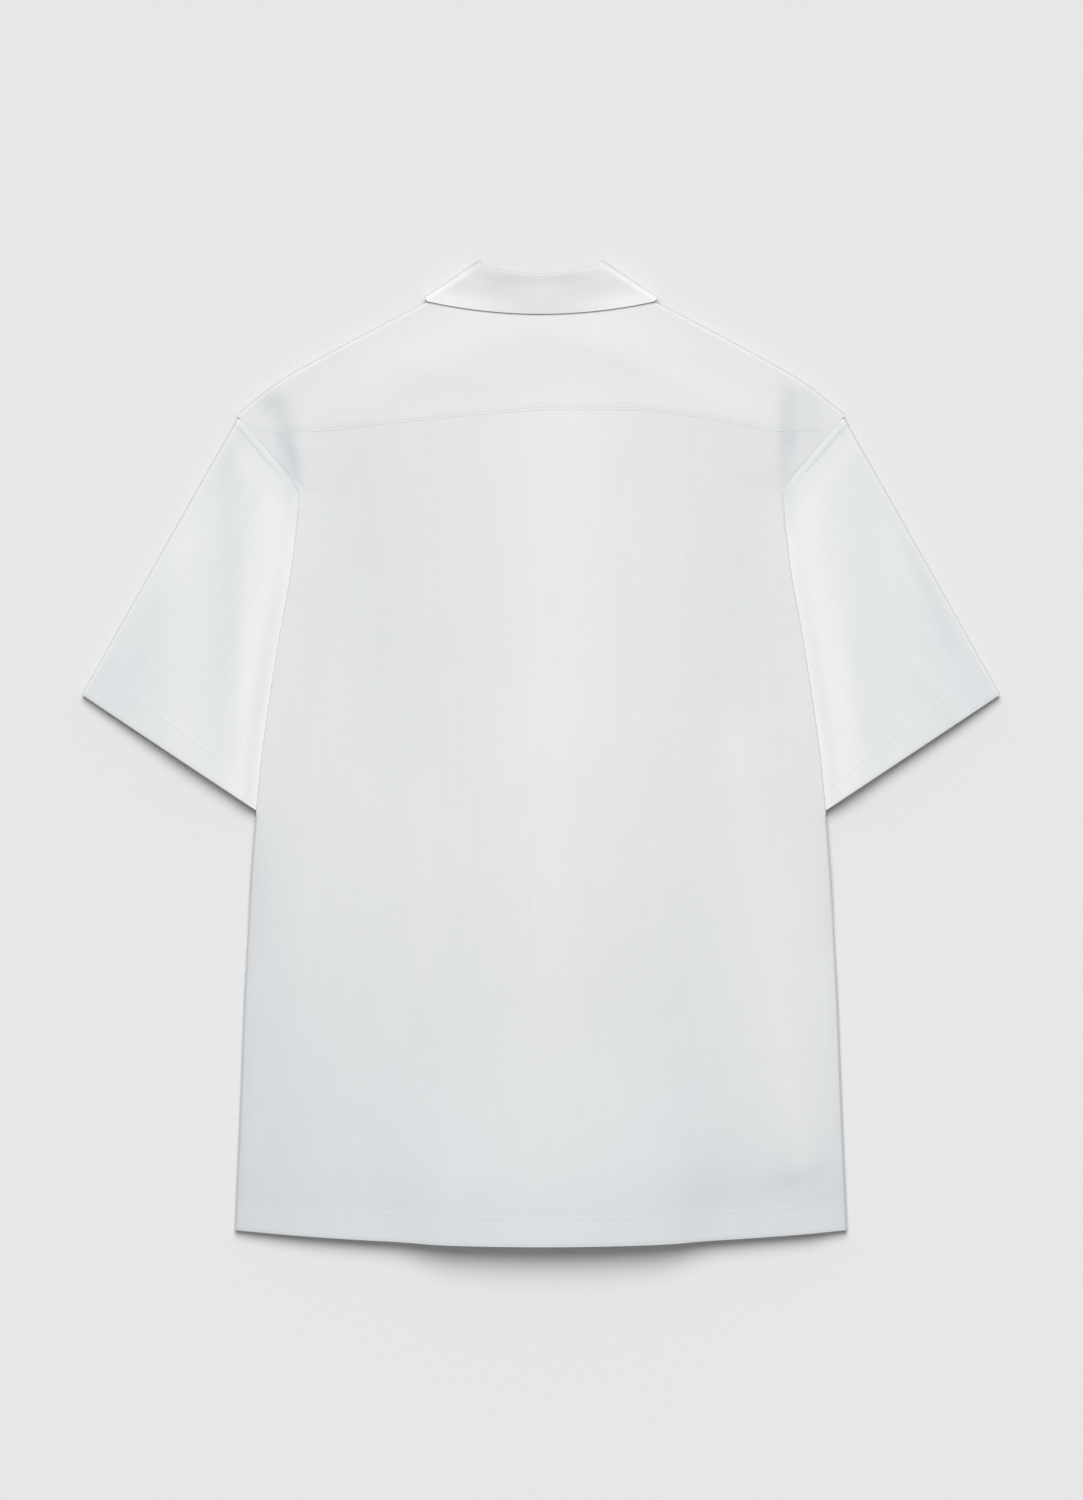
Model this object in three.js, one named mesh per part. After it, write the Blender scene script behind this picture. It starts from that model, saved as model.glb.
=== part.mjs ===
// A short-sleeved bowling shirt, laid flat with its back up, as a maker would cut and sew it.
// Millimetres, +Z up. The shirt lies on z = 0 with its fronts down; +Y points to the collar, and
// -X is the wearer's left. The origin is under the middle of its outline.
//
// Every panel is a cloth wall: a grid of points on its outer face, moved in by the cloth's thickness.
// The back and yoke lie over the fronts as a low arch, open at the hem, neck and cuffs.

import * as THREE from "three";

const { degToRad, lerp, smoothstep } = THREE.MathUtils;

// Driving dimensions of the garment, in millimetres.
const CLOTH = 1.2; // one wall, a panel with its seam allowance
const SEAM_GAP = 0.3; // between two pieces at a seam
const HEM_DEPTH = 21; // turned-up hem of the body and the sleeves
const HEM_BACK = 2.0; // the back's wall where the hem doubles it
const HEM_RISE = 0.4; // how far that hem stands proud of the back's outer face
const HEM_FRONT = 1.8; // the fronts' and sleeves' wall where the hem doubles it
const HEM_SIDE_Y = -370; // the hem at the side seams
const HEM_SAG = 12.5; // how much lower it hangs at the centre
const HEM_HALF = 238; // half the hem's width
const NECK_HALF = 66; // half the neck's width at the shoulder
const NECK_BACK_Y = 349; // the neck seam at the centre back
const NECK_GAP = 1.6; // between the collar's edge and the yoke at the neck seam
const NECK_RISE = 10; // how much higher the neck seam is at the shoulder
const NECK_SLOPE = 0.35; // how steeply the shoulder line goes on inside the neck
const NECK_TOP_Y = 340; // where the fronts end at the neck
const FOLD_TOP = 8.4; // height of the folded shoulder and of the sleeve's fold at its top
const EDGE_REACH = 42; // how far in from the back's sides their height carries
const SPREAD_RISE = 1.4; // how much higher the back lies than its folded edges, all over
const YOKE_TURN = 24; // how far the yoke reaches over the shoulder to the fronts
const TIP = { x: 236, y: 262 }; // the shoulder tip
const TUCK = { y: 203 }; // where the armhole seam goes under the back's fold
const UNDERARM = { x: 187, y: 62 };
const CUFF_TOP = { x: 356.5, y: 45.5 };
const CUFF_UNDER = { x: 196, y: -61 };
const ARMHOLE_BOW = 9; // how far the hidden part of the armhole curves in
const SLEEVE_LENGTH = 235;
const UNDERARM_TOP = 5.5; // height of the sleeve at the underarm, before it puffs
const PLACKET_HALF = 15; // each front passes the centre by this much
const PLACKET_STEP = 2.1; // the right front's rise over the left one
const BUTTON = { radius: 5.75, thick: 2.4, holeRadius: 0.9, holeReach: 1.75, pitch: 96, top: 231, count: 6 };
const BREAK_LOW = { x: -15, y: 240 }; // the lapel's fold line, from the top button
const BREAK_HIGH = { x: 54, y: 338 }; // to the collar
const LAPEL_TIP = { x: 79, y: 274 };
const LEAF_TIP = { x: 104, y: 300 };
const GORGE_SHARE = 0.42; // share of the lapel's top edge that is sewn to the collar
const COLLAR_LIFT = 1.5; // the fronts lie on the collar and the lapels

// Stretches over which a height grows or fades, each from a start to an end.
const FADE = {
  backBelowShoulder: [2, 62],
  foldsBelowShoulder: [3, 28],
  buttonsUp: [-335, -275],
  buttonsTop: [246, 300],
  buttonsOut: [17, 62],
  collarUp: [212, 240],
  collarOut: [108, 130],
  overlapTop: [263, 290],
  overlapOut: [16, 44],
  sleeveOutOfTuck: [0, 17],
  sleeveDownToFloor: [4, 18],
};
const ARCH_EDGE = 8; // the power with which the back's arch meets its sides
const FOLD_EDGE = 12; // the same for its folds

// The body's side, from the shoulder tip to the hem. half is half the width of the outline, and top the
// height of the back's outer face there. Inside the outline by inset, the back's edge rolls down by
// backTurn and the fronts' edge rolls up by frontTurn, over arcs of the given length.
const SIDE = [
  { y: 262, half: 236, top: 8.4, inset: 3, backArc: 3, backTurn: 9, frontArc: 3, frontTurn: 9 },
  { y: 208, half: 191.6, top: 5.0, inset: 3, backArc: 3, backTurn: 9, frontArc: 3, frontTurn: 9 },
  { y: 203, half: 188.2, top: 5.0, inset: 3, backArc: 3, backTurn: 9, frontArc: 3, frontTurn: 9 },
  { y: 197, half: 188.3, top: 8.2, inset: 2.6, backArc: 3.4, backTurn: 55, frontArc: 3, frontTurn: 9 },
  { y: 184, half: 188.8, top: 9.6, inset: 2.2, backArc: 6.9, backTurn: 180, frontArc: 3, frontTurn: 9 },
  { y: 150, half: 192.5, top: 9.6, inset: 2.2, backArc: 6.9, backTurn: 180, frontArc: 3, frontTurn: 9 },
  { y: 88, half: 203.5, top: 9.6, inset: 2.2, backArc: 6.9, backTurn: 180, frontArc: 3, frontTurn: 9 },
  { y: -5, half: 217, top: 10.4, inset: 2.2, backArc: 6.9, backTurn: 180, frontArc: 3, frontTurn: 9 },
  { y: -62, half: 222.5, top: 10.2, inset: 2.2, backArc: 6.9, backTurn: 180, frontArc: 3, frontTurn: 9 },
  { y: -104, half: 225.5, top: 6.4, inset: 3.2, backArc: 1.6, backTurn: 29, frontArc: 7.8, frontTurn: 140 },
  { y: -191, half: 230.5, top: 6.4, inset: 3.2, backArc: 1.6, backTurn: 29, frontArc: 7.8, frontTurn: 140 },
  { y: -269, half: 233.5, top: 6.4, inset: 3.2, backArc: 1.6, backTurn: 29, frontArc: 7.8, frontTurn: 140 },
  { y: -370, half: 238, top: 6.4, inset: 3.2, backArc: 1.6, backTurn: 29, frontArc: 7.8, frontTurn: 140 },
];

// The folded edge of the shoulder, seen from above.
const SHOULDER = [
  { x: 66, y: 362 },
  { x: 92, y: 348.5 },
  { x: 125, y: 331.7 },
  { x: 162, y: 312 },
  { x: 204, y: 288 },
  { x: 236, y: 263 },
];

// The yoke seam across the back, from the wearer's left.
const YOKE_SEAM = [
  { x: -226, y: 249.3 },
  { x: -183, y: 249.5 },
  { x: -110, y: 256.5 },
  { x: -42, y: 262.7 },
  { x: 14, y: 266 },
  { x: 70, y: 265.8 },
  { x: 122, y: 260.4 },
  { x: 185, y: 249.8 },
  { x: 226, y: 249.3 },
];

// How far the back stands above its edges down the middle, and how wide that arch is.
const LOFT = [
  { y: 366, rise: 3.4, middle: 6, spread: 120 },
  { y: 260, rise: 5.6, middle: 10, spread: 115 },
  { y: 120, rise: 7.6, middle: 18, spread: 105 },
  { y: -60, rise: 8.2, middle: 14, spread: 112 },
  { y: -220, rise: 7.4, middle: 10, spread: 125 },
  { y: -383, rise: 6.6, middle: 8, spread: 135 },
];

// Soft ridges and, with a negative rise, troughs of the back and yoke, each along a straight line.
const BACK_FOLDS = [
  { name: "left armhole valley", x1: -206, y1: 292, x2: -190, y2: 205, wide: 9, rise: -4.6, fade: 22 },
  { name: "right armhole valley", x1: 194, y1: 290, x2: 189, y2: 205, wide: 9, rise: -4.6, fade: 22 },
  { name: "centre ridge", x1: 24, y1: 225, x2: 22, y2: 20, wide: 34, rise: 1.8, fade: 60 },
  { name: "centre ridge below", x1: 12, y1: -30, x2: 8, y2: -190, wide: 22, rise: 1.3, fade: 60 },
  { name: "left blade trough", x1: -150, y1: 190, x2: -112, y2: 10, wide: 34, rise: -1.9, fade: 70 },
  { name: "right blade trough", x1: 168, y1: 190, x2: 146, y2: 40, wide: 26, rise: -1.7, fade: 60 },
  { name: "left short ridge", x1: -92, y1: -58, x2: -92, y2: -170, wide: 12, rise: 1.3, fade: 40 },
  { name: "right slanting ridge", x1: 156, y1: -28, x2: 203, y2: -320, wide: 13, rise: 1.9, fade: 60 },
  { name: "left lower trough", x1: -212, y1: -110, x2: -206, y2: -350, wide: 18, rise: -1.0, fade: 60 },
];

// The middle of the back's hem stands off the fronts, between two short steps.
const HEM_WAVE = { left: -93, right: 113, step: 18, rise: 7.5, reach: 190 };

// The sleeve from armhole to cuff: how high its fold is, and how far it puffs up.
const SLEEVE = [
  { t: 0, fold: 8.4, puff: 0.5 },
  { t: 0.25, fold: 7.4, puff: 5.0 },
  { t: 0.6, fold: 6.6, puff: 7.0 },
  { t: 1, fold: 6.0, puff: 8.2 },
];

// The puff across the sleeve, from its fold to the body.
const PUFF = [
  { q: 0, share: 0 },
  { q: 0.22, share: 0.5 },
  { q: 0.48, share: 0.78 },
  { q: 0.72, share: 1 },
  { q: 1, share: 0.9 },
];

// Folds of the sleeves. side is -1 for the wearer's left.
const SLEEVE_FOLDS = [
  { side: -1, x1: 241, y1: 215, x2: 243, y2: 0, wide: 9, rise: -1.5, fade: 40 },
  { side: -1, x1: 276, y1: 165, x2: 280, y2: 20, wide: 13, rise: 1.0, fade: 40 },
  { side: 1, x1: 276, y1: 190, x2: 312, y2: 92, wide: 8, rise: -1.3, fade: 30 },
  { side: 1, x1: 252, y1: 180, x2: 262, y2: 10, wide: 10, rise: -0.8, fade: 40 },
];

// The sleeve's height where it meets the body: the seam down to the tuck, then under the back's fold.
const SLEEVE_AT_BODY = [
  { y: 262, top: 8.4, low: 0 },
  { y: 218, top: 6.0, low: 0 },
  { y: 205, top: 5.0, low: 1.5 },
  { y: 190, top: 4.5, low: 1.5 },
  { y: 35, top: 4.5, low: 1.5 },
  { y: 5, top: 5.4, low: 1.5 },
  { y: -80, top: 5.4, low: 1.5 },
];

// The collar over the back, from the centre (a = 0) to where it turns under the shoulder (a = 1).
const ROLL_HEIGHT = [
  { a: 0, z: 18.5 },
  { a: 0.6, z: 20 },
  { a: 1, z: 15.5 },
];
const ROLL = { backY: 371.5, rise: 6, reach: 43.8, radius: 2.2 };
const FALL = { edgeY: 339.8, rise: 10.2, reach: 88.1, turnTop: 10.8 };
const COLLAR_TURN = { x: 0.555, y: 0.832 }; // the way the collar bulges where it turns under
const LEAF = { neckX: 58, neckY: 341.5, bendAt: 0.4 }; // the end of the collar under the front

const smooth = (x, [start, end]) => smoothstep(x, start, end);
const mix = (p, q, t) => p.map((value, k) => lerp(value, q[k], t));

// The value of a table's column at a key, on a smooth curve through its rows.
function at(table, key, column, where) {
  const rows = [...table].sort((a, b) => a[key] - b[key]);
  const last = rows.length - 1;
  if (where <= rows[0][key]) return rows[0][column];
  if (where >= rows[last][key]) return rows[last][column];
  const i = rows.findIndex((row) => row[key] > where) - 1;
  const chord = (k) => (rows[k + 1][column] - rows[k][column]) / (rows[k + 1][key] - rows[k][key]);
  const slope = (k) => {
    const [before, after] = [chord(Math.max(0, k - 1)), chord(Math.min(last - 1, k))];
    return before * after <= 0 ? 0 : (2 * before * after) / (before + after);
  };
  const span = rows[i + 1][key] - rows[i][key];
  const t = (where - rows[i][key]) / span;
  const ends = [slope(i), slope(i + 1)].map((s) => s * span);
  return (
    (1 + 2 * t) * (1 - t) ** 2 * rows[i][column] +
    t * (1 - t) ** 2 * ends[0] +
    t * t * (3 - 2 * t) * rows[i + 1][column] -
    t * t * (1 - t) * ends[1]
  );
}

// The sum of the folds at a place: each is a rounded ridge that fades out past its ends.
function foldsAt(folds, x, y) {
  let sum = 0;
  for (const fold of folds) {
    const dx = fold.x2 - fold.x1;
    const dy = fold.y2 - fold.y1;
    const long = Math.hypot(dx, dy);
    const along = ((x - fold.x1) * dx + (y - fold.y1) * dy) / long;
    const off = ((x - fold.x1) * dy - (y - fold.y1) * dx) / long;
    const past = Math.max(-along, along - long, 0);
    sum += fold.rise * Math.exp(-((off / fold.wide) ** 2)) * Math.exp(-((past / fold.fade) ** 2));
  }
  return sum;
}

const sideHalf = (y) => at(SIDE, "y", "half", y);
const shoulderY = (x) => {
  const out = Math.abs(x);
  return out < NECK_HALF ? SHOULDER[0].y + (NECK_HALF - out) * NECK_SLOPE : at(SHOULDER, "x", "y", out);
};
const yokeSeamY = (x) => at(YOKE_SEAM, "x", "y", x);
const neckY = (x) => NECK_BACK_Y + NECK_RISE * (x / NECK_HALF) ** 2;
const hemY = (x) => HEM_SIDE_Y - HEM_SAG * (1 - Math.min(1, Math.abs(x) / HEM_HALF) ** 2);

// Where a line across the shirt, with its y given by yOf(x), meets the armhole.
function onArmhole(yOf) {
  let x = TIP.x;
  for (let k = 0; k < 8; k++) x = sideHalf(yOf(x));
  return x;
}

// Height of the outer face of the back and the yoke.
function backHeight(x, y) {
  const half = sideHalf(y);
  const share = Math.min(1, Math.abs(x) / half);
  const edge = at(SIDE, "y", "top", y);
  const offMiddle = (x - at(LOFT, "y", "middle", y)) / at(LOFT, "y", "spread", y);
  const arch = at(LOFT, "y", "rise", y) * Math.exp(-(offMiddle ** 2));
  const [left, right] = [HEM_WAVE.left, HEM_WAVE.right].map((middle) => {
    return smooth(x, [middle - HEM_WAVE.step / 2, middle + HEM_WAVE.step / 2]);
  });
  const wave = HEM_WAVE.rise * left * (1 - right) * (1 - smooth(y, [hemY(0), hemY(0) + HEM_WAVE.reach]));
  const below = shoulderY(x) - y;
  const flat = lerp(edge, FOLD_TOP, smooth(half - Math.abs(x), [0, EDGE_REACH]));
  const raised = (SPREAD_RISE + arch + wave) * (1 - share ** ARCH_EDGE) * smooth(below, FADE.backBelowShoulder);
  const folds = foldsAt(BACK_FOLDS, x, y) * (1 - share ** FOLD_EDGE) * smooth(below, FADE.foldsBelowShoulder);
  return flat + raised + folds;
}

// How far the underside of a front or of the yoke is lifted off the floor. out is the distance from the
// centre towards the panel's own side. The upper front, the right one, steps up over the edge of the
// other.
function frontLift(out, y, upper) {
  const alongButtons = smooth(y, FADE.buttonsUp) * (1 - smooth(y, FADE.buttonsTop));
  const placket = (BUTTON.thick + SEAM_GAP) * alongButtons * (1 - smooth(out, FADE.buttonsOut));
  const collar = COLLAR_LIFT * smooth(y, FADE.collarUp) * (1 - smooth(out, FADE.collarOut));
  const overlap = (1 - smooth(out, FADE.overlapOut)) * (1 - smooth(y, FADE.overlapTop));
  return Math.max(placket, collar) + (upper ? PLACKET_STEP * overlap : 0);
}

// A closed cloth wall from a grid of outer points. facing is 1 where the rows crossed with the columns
// point out.
function clothWall(grid, thickness, { facing = 1, ring = false, keep = () => true } = {}) {
  const rows = grid.length;
  const columns = grid[0].length;
  const index = (i, j) => i * columns + (j % columns);
  const outer = grid.flat().map((p) => new THREE.Vector3(...p));
  const normals = outer.map(() => new THREE.Vector3());
  const faces = [];
  for (let i = 0; i < rows - 1; i++) {
    for (let j = 0; j < columns - (ring ? 0 : 1); j++) {
      if (!keep(i, j)) continue;
      const [a, b, c, d] = [index(i, j), index(i + 1, j), index(i + 1, j + 1), index(i, j + 1)];
      const across = outer[c].clone().sub(outer[a]);
      const normal = across.cross(outer[d].clone().sub(outer[b])).multiplyScalar(facing);
      for (const k of [a, b, c, d]) normals[k].add(normal);
      const quad = facing > 0 ? [a, b, c, d] : [a, d, c, b];
      faces.push([quad[0], quad[1], quad[2]], [quad[0], quad[2], quad[3]]);
    }
  }
  const count = outer.length;
  const inner = outer.map((p, k) => {
    const wall = typeof thickness === "function" ? thickness(Math.floor(k / columns), k % columns) : thickness;
    return p.clone().addScaledVector(normals[k].normalize(), -wall);
  });
  const edges = new Set(faces.flatMap(([a, b, c]) => [`${a},${b}`, `${b},${c}`, `${c},${a}`]));
  const triangles = [];
  for (const [a, b, c] of faces) {
    triangles.push(a, b, c, a + count, c + count, b + count);
    for (const [p, q] of [[a, b], [b, c], [c, a]]) {
      if (!edges.has(`${q},${p}`)) triangles.push(q, p, p + count, q, p + count, q + count);
    }
  }
  const position = [...outer, ...inner].flatMap((p) => p.toArray());
  const geometry = new THREE.BufferGeometry();
  geometry.setAttribute("position", new THREE.Float32BufferAttribute(position, 3));
  geometry.setIndex(triangles);
  const solid = geometry.toNonIndexed();
  solid.computeVertexNormals();
  return solid;
}

const steps = (count) => Array.from({ length: count + 1 }, (_, k) => k / count);

// A rolled edge: points along an arc that starts level at (x, z) and turns by the given angle. sign is 1
// where it turns down and -1 where it turns up. out is the side of the garment.
function rolled(x, z, arc, turn, sign, side, count) {
  const angle = degToRad(turn);
  const radius = arc / angle;
  return steps(count)
    .slice(1)
    .map((share) => [
      side * (x + radius * Math.sin(angle * share)),
      z - sign * radius * (1 - Math.cos(angle * share)),
    ]);
}

// Where the rolled edges of the back and the fronts start.
const rollStart = (y) => sideHalf(y) - at(SIDE, "y", "inset", y);

// The back below the yoke seam, from side seam to side seam.
function back() {
  const across = [-1, -0.965, -0.93, -0.88, -0.8, -0.7, -0.6, -0.5, -0.4, -0.3, -0.2, -0.1];
  const shares = [...across, 0, ...across.map((u) => -u).reverse()];
  const besideTip = [249, 238, 226, 214, 208, 203, 199, 193, 186, 176];
  const besideSleeve = [160, 135, 105, 70, 35, 0, -30, -55, -70, -82, -94];
  const belowSleeve = [-106, -135, -170, -205, -240, -275, -305, -330];
  const hemYs = [HEM_DEPTH + 1.5, HEM_DEPTH, HEM_DEPTH / 2, 0].map((up) => HEM_SIDE_Y + up);
  const rows = [...besideTip, ...besideSleeve, ...belowSleeve, ...hemYs];
  const inHem = (i) => i >= rows.length - 3;
  const grid = rows.map((sideY, i) => {
    const arc = at(SIDE, "y", "backArc", sideY);
    const turn = at(SIDE, "y", "backTurn", sideY);
    const start = rollStart(sideY);
    const proud = inHem(i) ? HEM_RISE : 0;
    const down = (rows[0] - sideY) / (rows[0] - HEM_SIDE_Y);
    const yAt = (x) => {
      const seam = yokeSeamY(x) - SEAM_GAP - rows[0];
      return sideY + seam * (1 - down) ** 3 + (hemY(x) - HEM_SIDE_Y) * down ** 2;
    };
    const edge = (side) => {
      const z = backHeight(side * start, yAt(side * start)) + proud;
      return rolled(start, z, arc, turn, 1, side, 4).map(([x, height]) => [x, yAt(side * start), height]);
    };
    const middle = shares.map((share) => {
      const x = share * start;
      return [x, yAt(x), backHeight(x, yAt(x)) + proud];
    });
    return [...edge(-1).reverse(), ...middle, ...edge(1)];
  });
  return clothWall(grid, (i) => (inHem(i) ? HEM_BACK : CLOTH));
}

// The yoke: from its seam up to the neck, and over the shoulders to the fronts.
function yoke() {
  const inner = [0, 0.25, 0.5, 0.75, 1].map((share) => share * NECK_HALF);
  const outerShares = [0.14, 0.28, 0.42, 0.56, 0.68, 0.78, 0.86, 0.93, 1];
  const positive = [...inner.map((x) => ({ x })), ...outerShares.map((share) => ({ share }))];
  const columns = [
    ...positive.slice(1).reverse().map((c) => ({ ...c, side: -1 })),
    ...positive.map((c) => ({ ...c, side: 1 })),
  ];
  const rows = [
    ...[0, 0.15, 0.35, 0.55, 0.75, 0.9, 1].map((up) => ({ up })),
    ...[36, 72, 108, 144, 180].map((turn) => ({ turn })),
    ...[0.5, 1].map((under) => ({ under })),
  ];
  const placeOn = (row, side, out) => {
    const lift = frontLift(out, shoulderY(out) - YOKE_TURN / 2, false);
    const radius = (FOLD_TOP - lift) / 2;
    const foldY = shoulderY(out) - radius;
    if (row.up !== undefined) {
      const y = lerp(yokeSeamY(side * out) + SEAM_GAP, out < NECK_HALF ? neckY(out) : foldY, row.up);
      return [side * out, y, backHeight(side * out, y)];
    }
    const angle = degToRad(row.turn ?? 180);
    const under = (row.under ?? 0) * (YOKE_TURN - radius);
    return [side * out, foldY + radius * Math.sin(angle) - under, lift + radius + radius * Math.cos(angle)];
  };
  const grid = rows.map((row) =>
    columns.map(({ x, share, side }) => {
      if (x !== undefined) return placeOn(row, side, x);
      const edge = onArmhole((out) => placeOn(row, side, out)[1]) - SEAM_GAP;
      return placeOn(row, side, lerp(NECK_HALF, edge, share));
    }),
  );
  const foldRow = rows.findLastIndex((row) => row.up !== undefined);
  const nearest = (i, j) => Math.min(Math.abs(grid[i][j][0]), Math.abs(grid[i][j + 1][0]));
  const keep = (i, j) => i < foldRow || nearest(i, j) > NECK_HALF - 1;
  return clothWall(grid, CLOTH, { facing: -1, keep });
}

// The inner edge of a front: the placket, then the lapel's fold line and the neck.
const INNER_EDGE = [
  { y: HEM_SIDE_Y - HEM_SAG, out: -PLACKET_HALF },
  { y: BREAK_LOW.y, out: BREAK_LOW.x },
  { y: BREAK_HIGH.y, out: BREAK_HIGH.x },
  { y: NECK_TOP_Y, out: NECK_HALF },
];

function innerEdge(y) {
  const i = Math.max(1, INNER_EDGE.findIndex((row) => row.y >= y - 1e-6));
  const [low, high] = [INNER_EDGE[i - 1], INNER_EDGE[i]];
  return lerp(low.out, high.out, Math.min(1, Math.max(0, (y - low.y) / (high.y - low.y))));
}

// A front: from the placket and the lapel's fold to its side, with its edge rolled up to the side seam.
function front(side) {
  const upper = side > 0;
  const topY = (out) => shoulderY(out) - YOKE_TURN - 2 * SEAM_GAP;
  const topOut = onArmhole(topY);
  const sideTopY = topY(topOut);
  const hemYs = [0, HEM_DEPTH / 2, HEM_DEPTH, HEM_DEPTH + 1.5].map((up) => HEM_SIDE_Y + up);
  const belowSleeve = [-320, -285, -240, -190, -140, -106, -94, -82];
  const besideSleeve = [-70, -55, -30, 10, 60, 110, 148, 176, 190, 203, 225];
  const centreLow = hemY(PLACKET_HALF);
  const breaks = [BREAK_LOW.y, BREAK_HIGH.y].map((y) => (y - centreLow) / (NECK_TOP_Y - centreLow));
  const shareUp = (y) => (y - HEM_SIDE_Y) / (sideTopY - HEM_SIDE_Y);
  const rows = [...[...hemYs, ...belowSleeve, ...besideSleeve].map(shareUp), ...breaks, 1].sort((p, q) => p - q);
  const across = [0, 0.06, 0.12, 0.17, 0.24, 0.31, 0.42, 0.55, 0.7, 0.85, 1];
  const grid = rows.map((v) => {
    const centreY = lerp(centreLow, NECK_TOP_Y, v);
    const sideY = lerp(HEM_SIDE_Y, sideTopY, v);
    const arc = at(SIDE, "y", "frontArc", sideY);
    const turn = at(SIDE, "y", "frontTurn", sideY);
    const start = rollStart(sideY);
    const inside = innerEdge(centreY);
    const flat = across.map((u) => {
      const out = lerp(inside, start, u);
      const y = lerp(hemY(out), topY(lerp(NECK_HALF, topOut, u)) + SEAM_GAP, v);
      return [side * out, y, frontLift(out, y, upper)];
    });
    const lastY = flat[flat.length - 1][1];
    const lift = flat[flat.length - 1][2];
    const edge = rolled(start, lift, arc, turn, -1, side, 5).map(([x, z]) => [x, lastY, z]);
    return [...flat, ...edge];
  });
  return clothWall(grid, (i) => (i < 3 ? HEM_FRONT : CLOTH), { facing: side });
}

// The armhole, from the sleeve's fold at the shoulder tip (q = 0) to the underarm (q = 1).
function armhole(q) {
  const turnIn = 0.4;
  if (q < turnIn) {
    const y = lerp(TIP.y, TUCK.y, q / turnIn);
    return { x: sideHalf(y) + 2 * SEAM_GAP, y };
  }
  const t = (q - turnIn) / (1 - turnIn);
  const bow = ARMHOLE_BOW * Math.sin(Math.PI * t);
  return { x: lerp(sideHalf(TUCK.y) + 2 * SEAM_GAP, UNDERARM.x, t) - bow, y: lerp(TUCK.y, UNDERARM.y, t) };
}

// A place on the sleeve seen from above: t runs from the armhole to the cuff, q from the fold to the
// underarm.
function sleevePlace(t, q) {
  const head = armhole(q);
  return {
    x: lerp(head.x, lerp(CUFF_TOP.x, CUFF_UNDER.x, q), t),
    y: lerp(head.y, lerp(CUFF_TOP.y, CUFF_UNDER.y, q), t),
  };
}

const FOLDS_START = 0.12; // the share of a sleeve's width over which its folds grow from its top fold

function sleeveTop(side, t, q, place) {
  const fold = at(SLEEVE, "t", "fold", t);
  const puff = at(SLEEVE, "t", "puff", t) * at(PUFF, "q", "share", q);
  const folds = foldsAt(SLEEVE_FOLDS.filter((row) => row.side === side), place.x, place.y);
  const puffed = lerp(fold, UNDERARM_TOP, q) + puff + folds * smooth(q, [0, FOLDS_START]);
  const clear = smooth(place.x - sideHalf(place.y), FADE.sleeveOutOfTuck);
  return lerp(at(SLEEVE_AT_BODY, "y", "top", place.y), puffed, clear);
}

function sleeveLow(place) {
  const clear = smooth(place.x - sideHalf(place.y), FADE.sleeveDownToFloor);
  return at(SLEEVE_AT_BODY, "y", "low", place.y) * (1 - clear);
}

// The share of the sleeve's width, at t, that shows beside the body.
function shownShare(t) {
  let [low, high] = [0, 1];
  for (let k = 0; k < 24; k++) {
    const q = (low + high) / 2;
    const place = sleevePlace(t, q);
    const shows = t === 0 ? place.y > TUCK.y : place.x > sideHalf(place.y);
    if (shows) low = q;
    else high = q;
  }
  return low;
}

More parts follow.
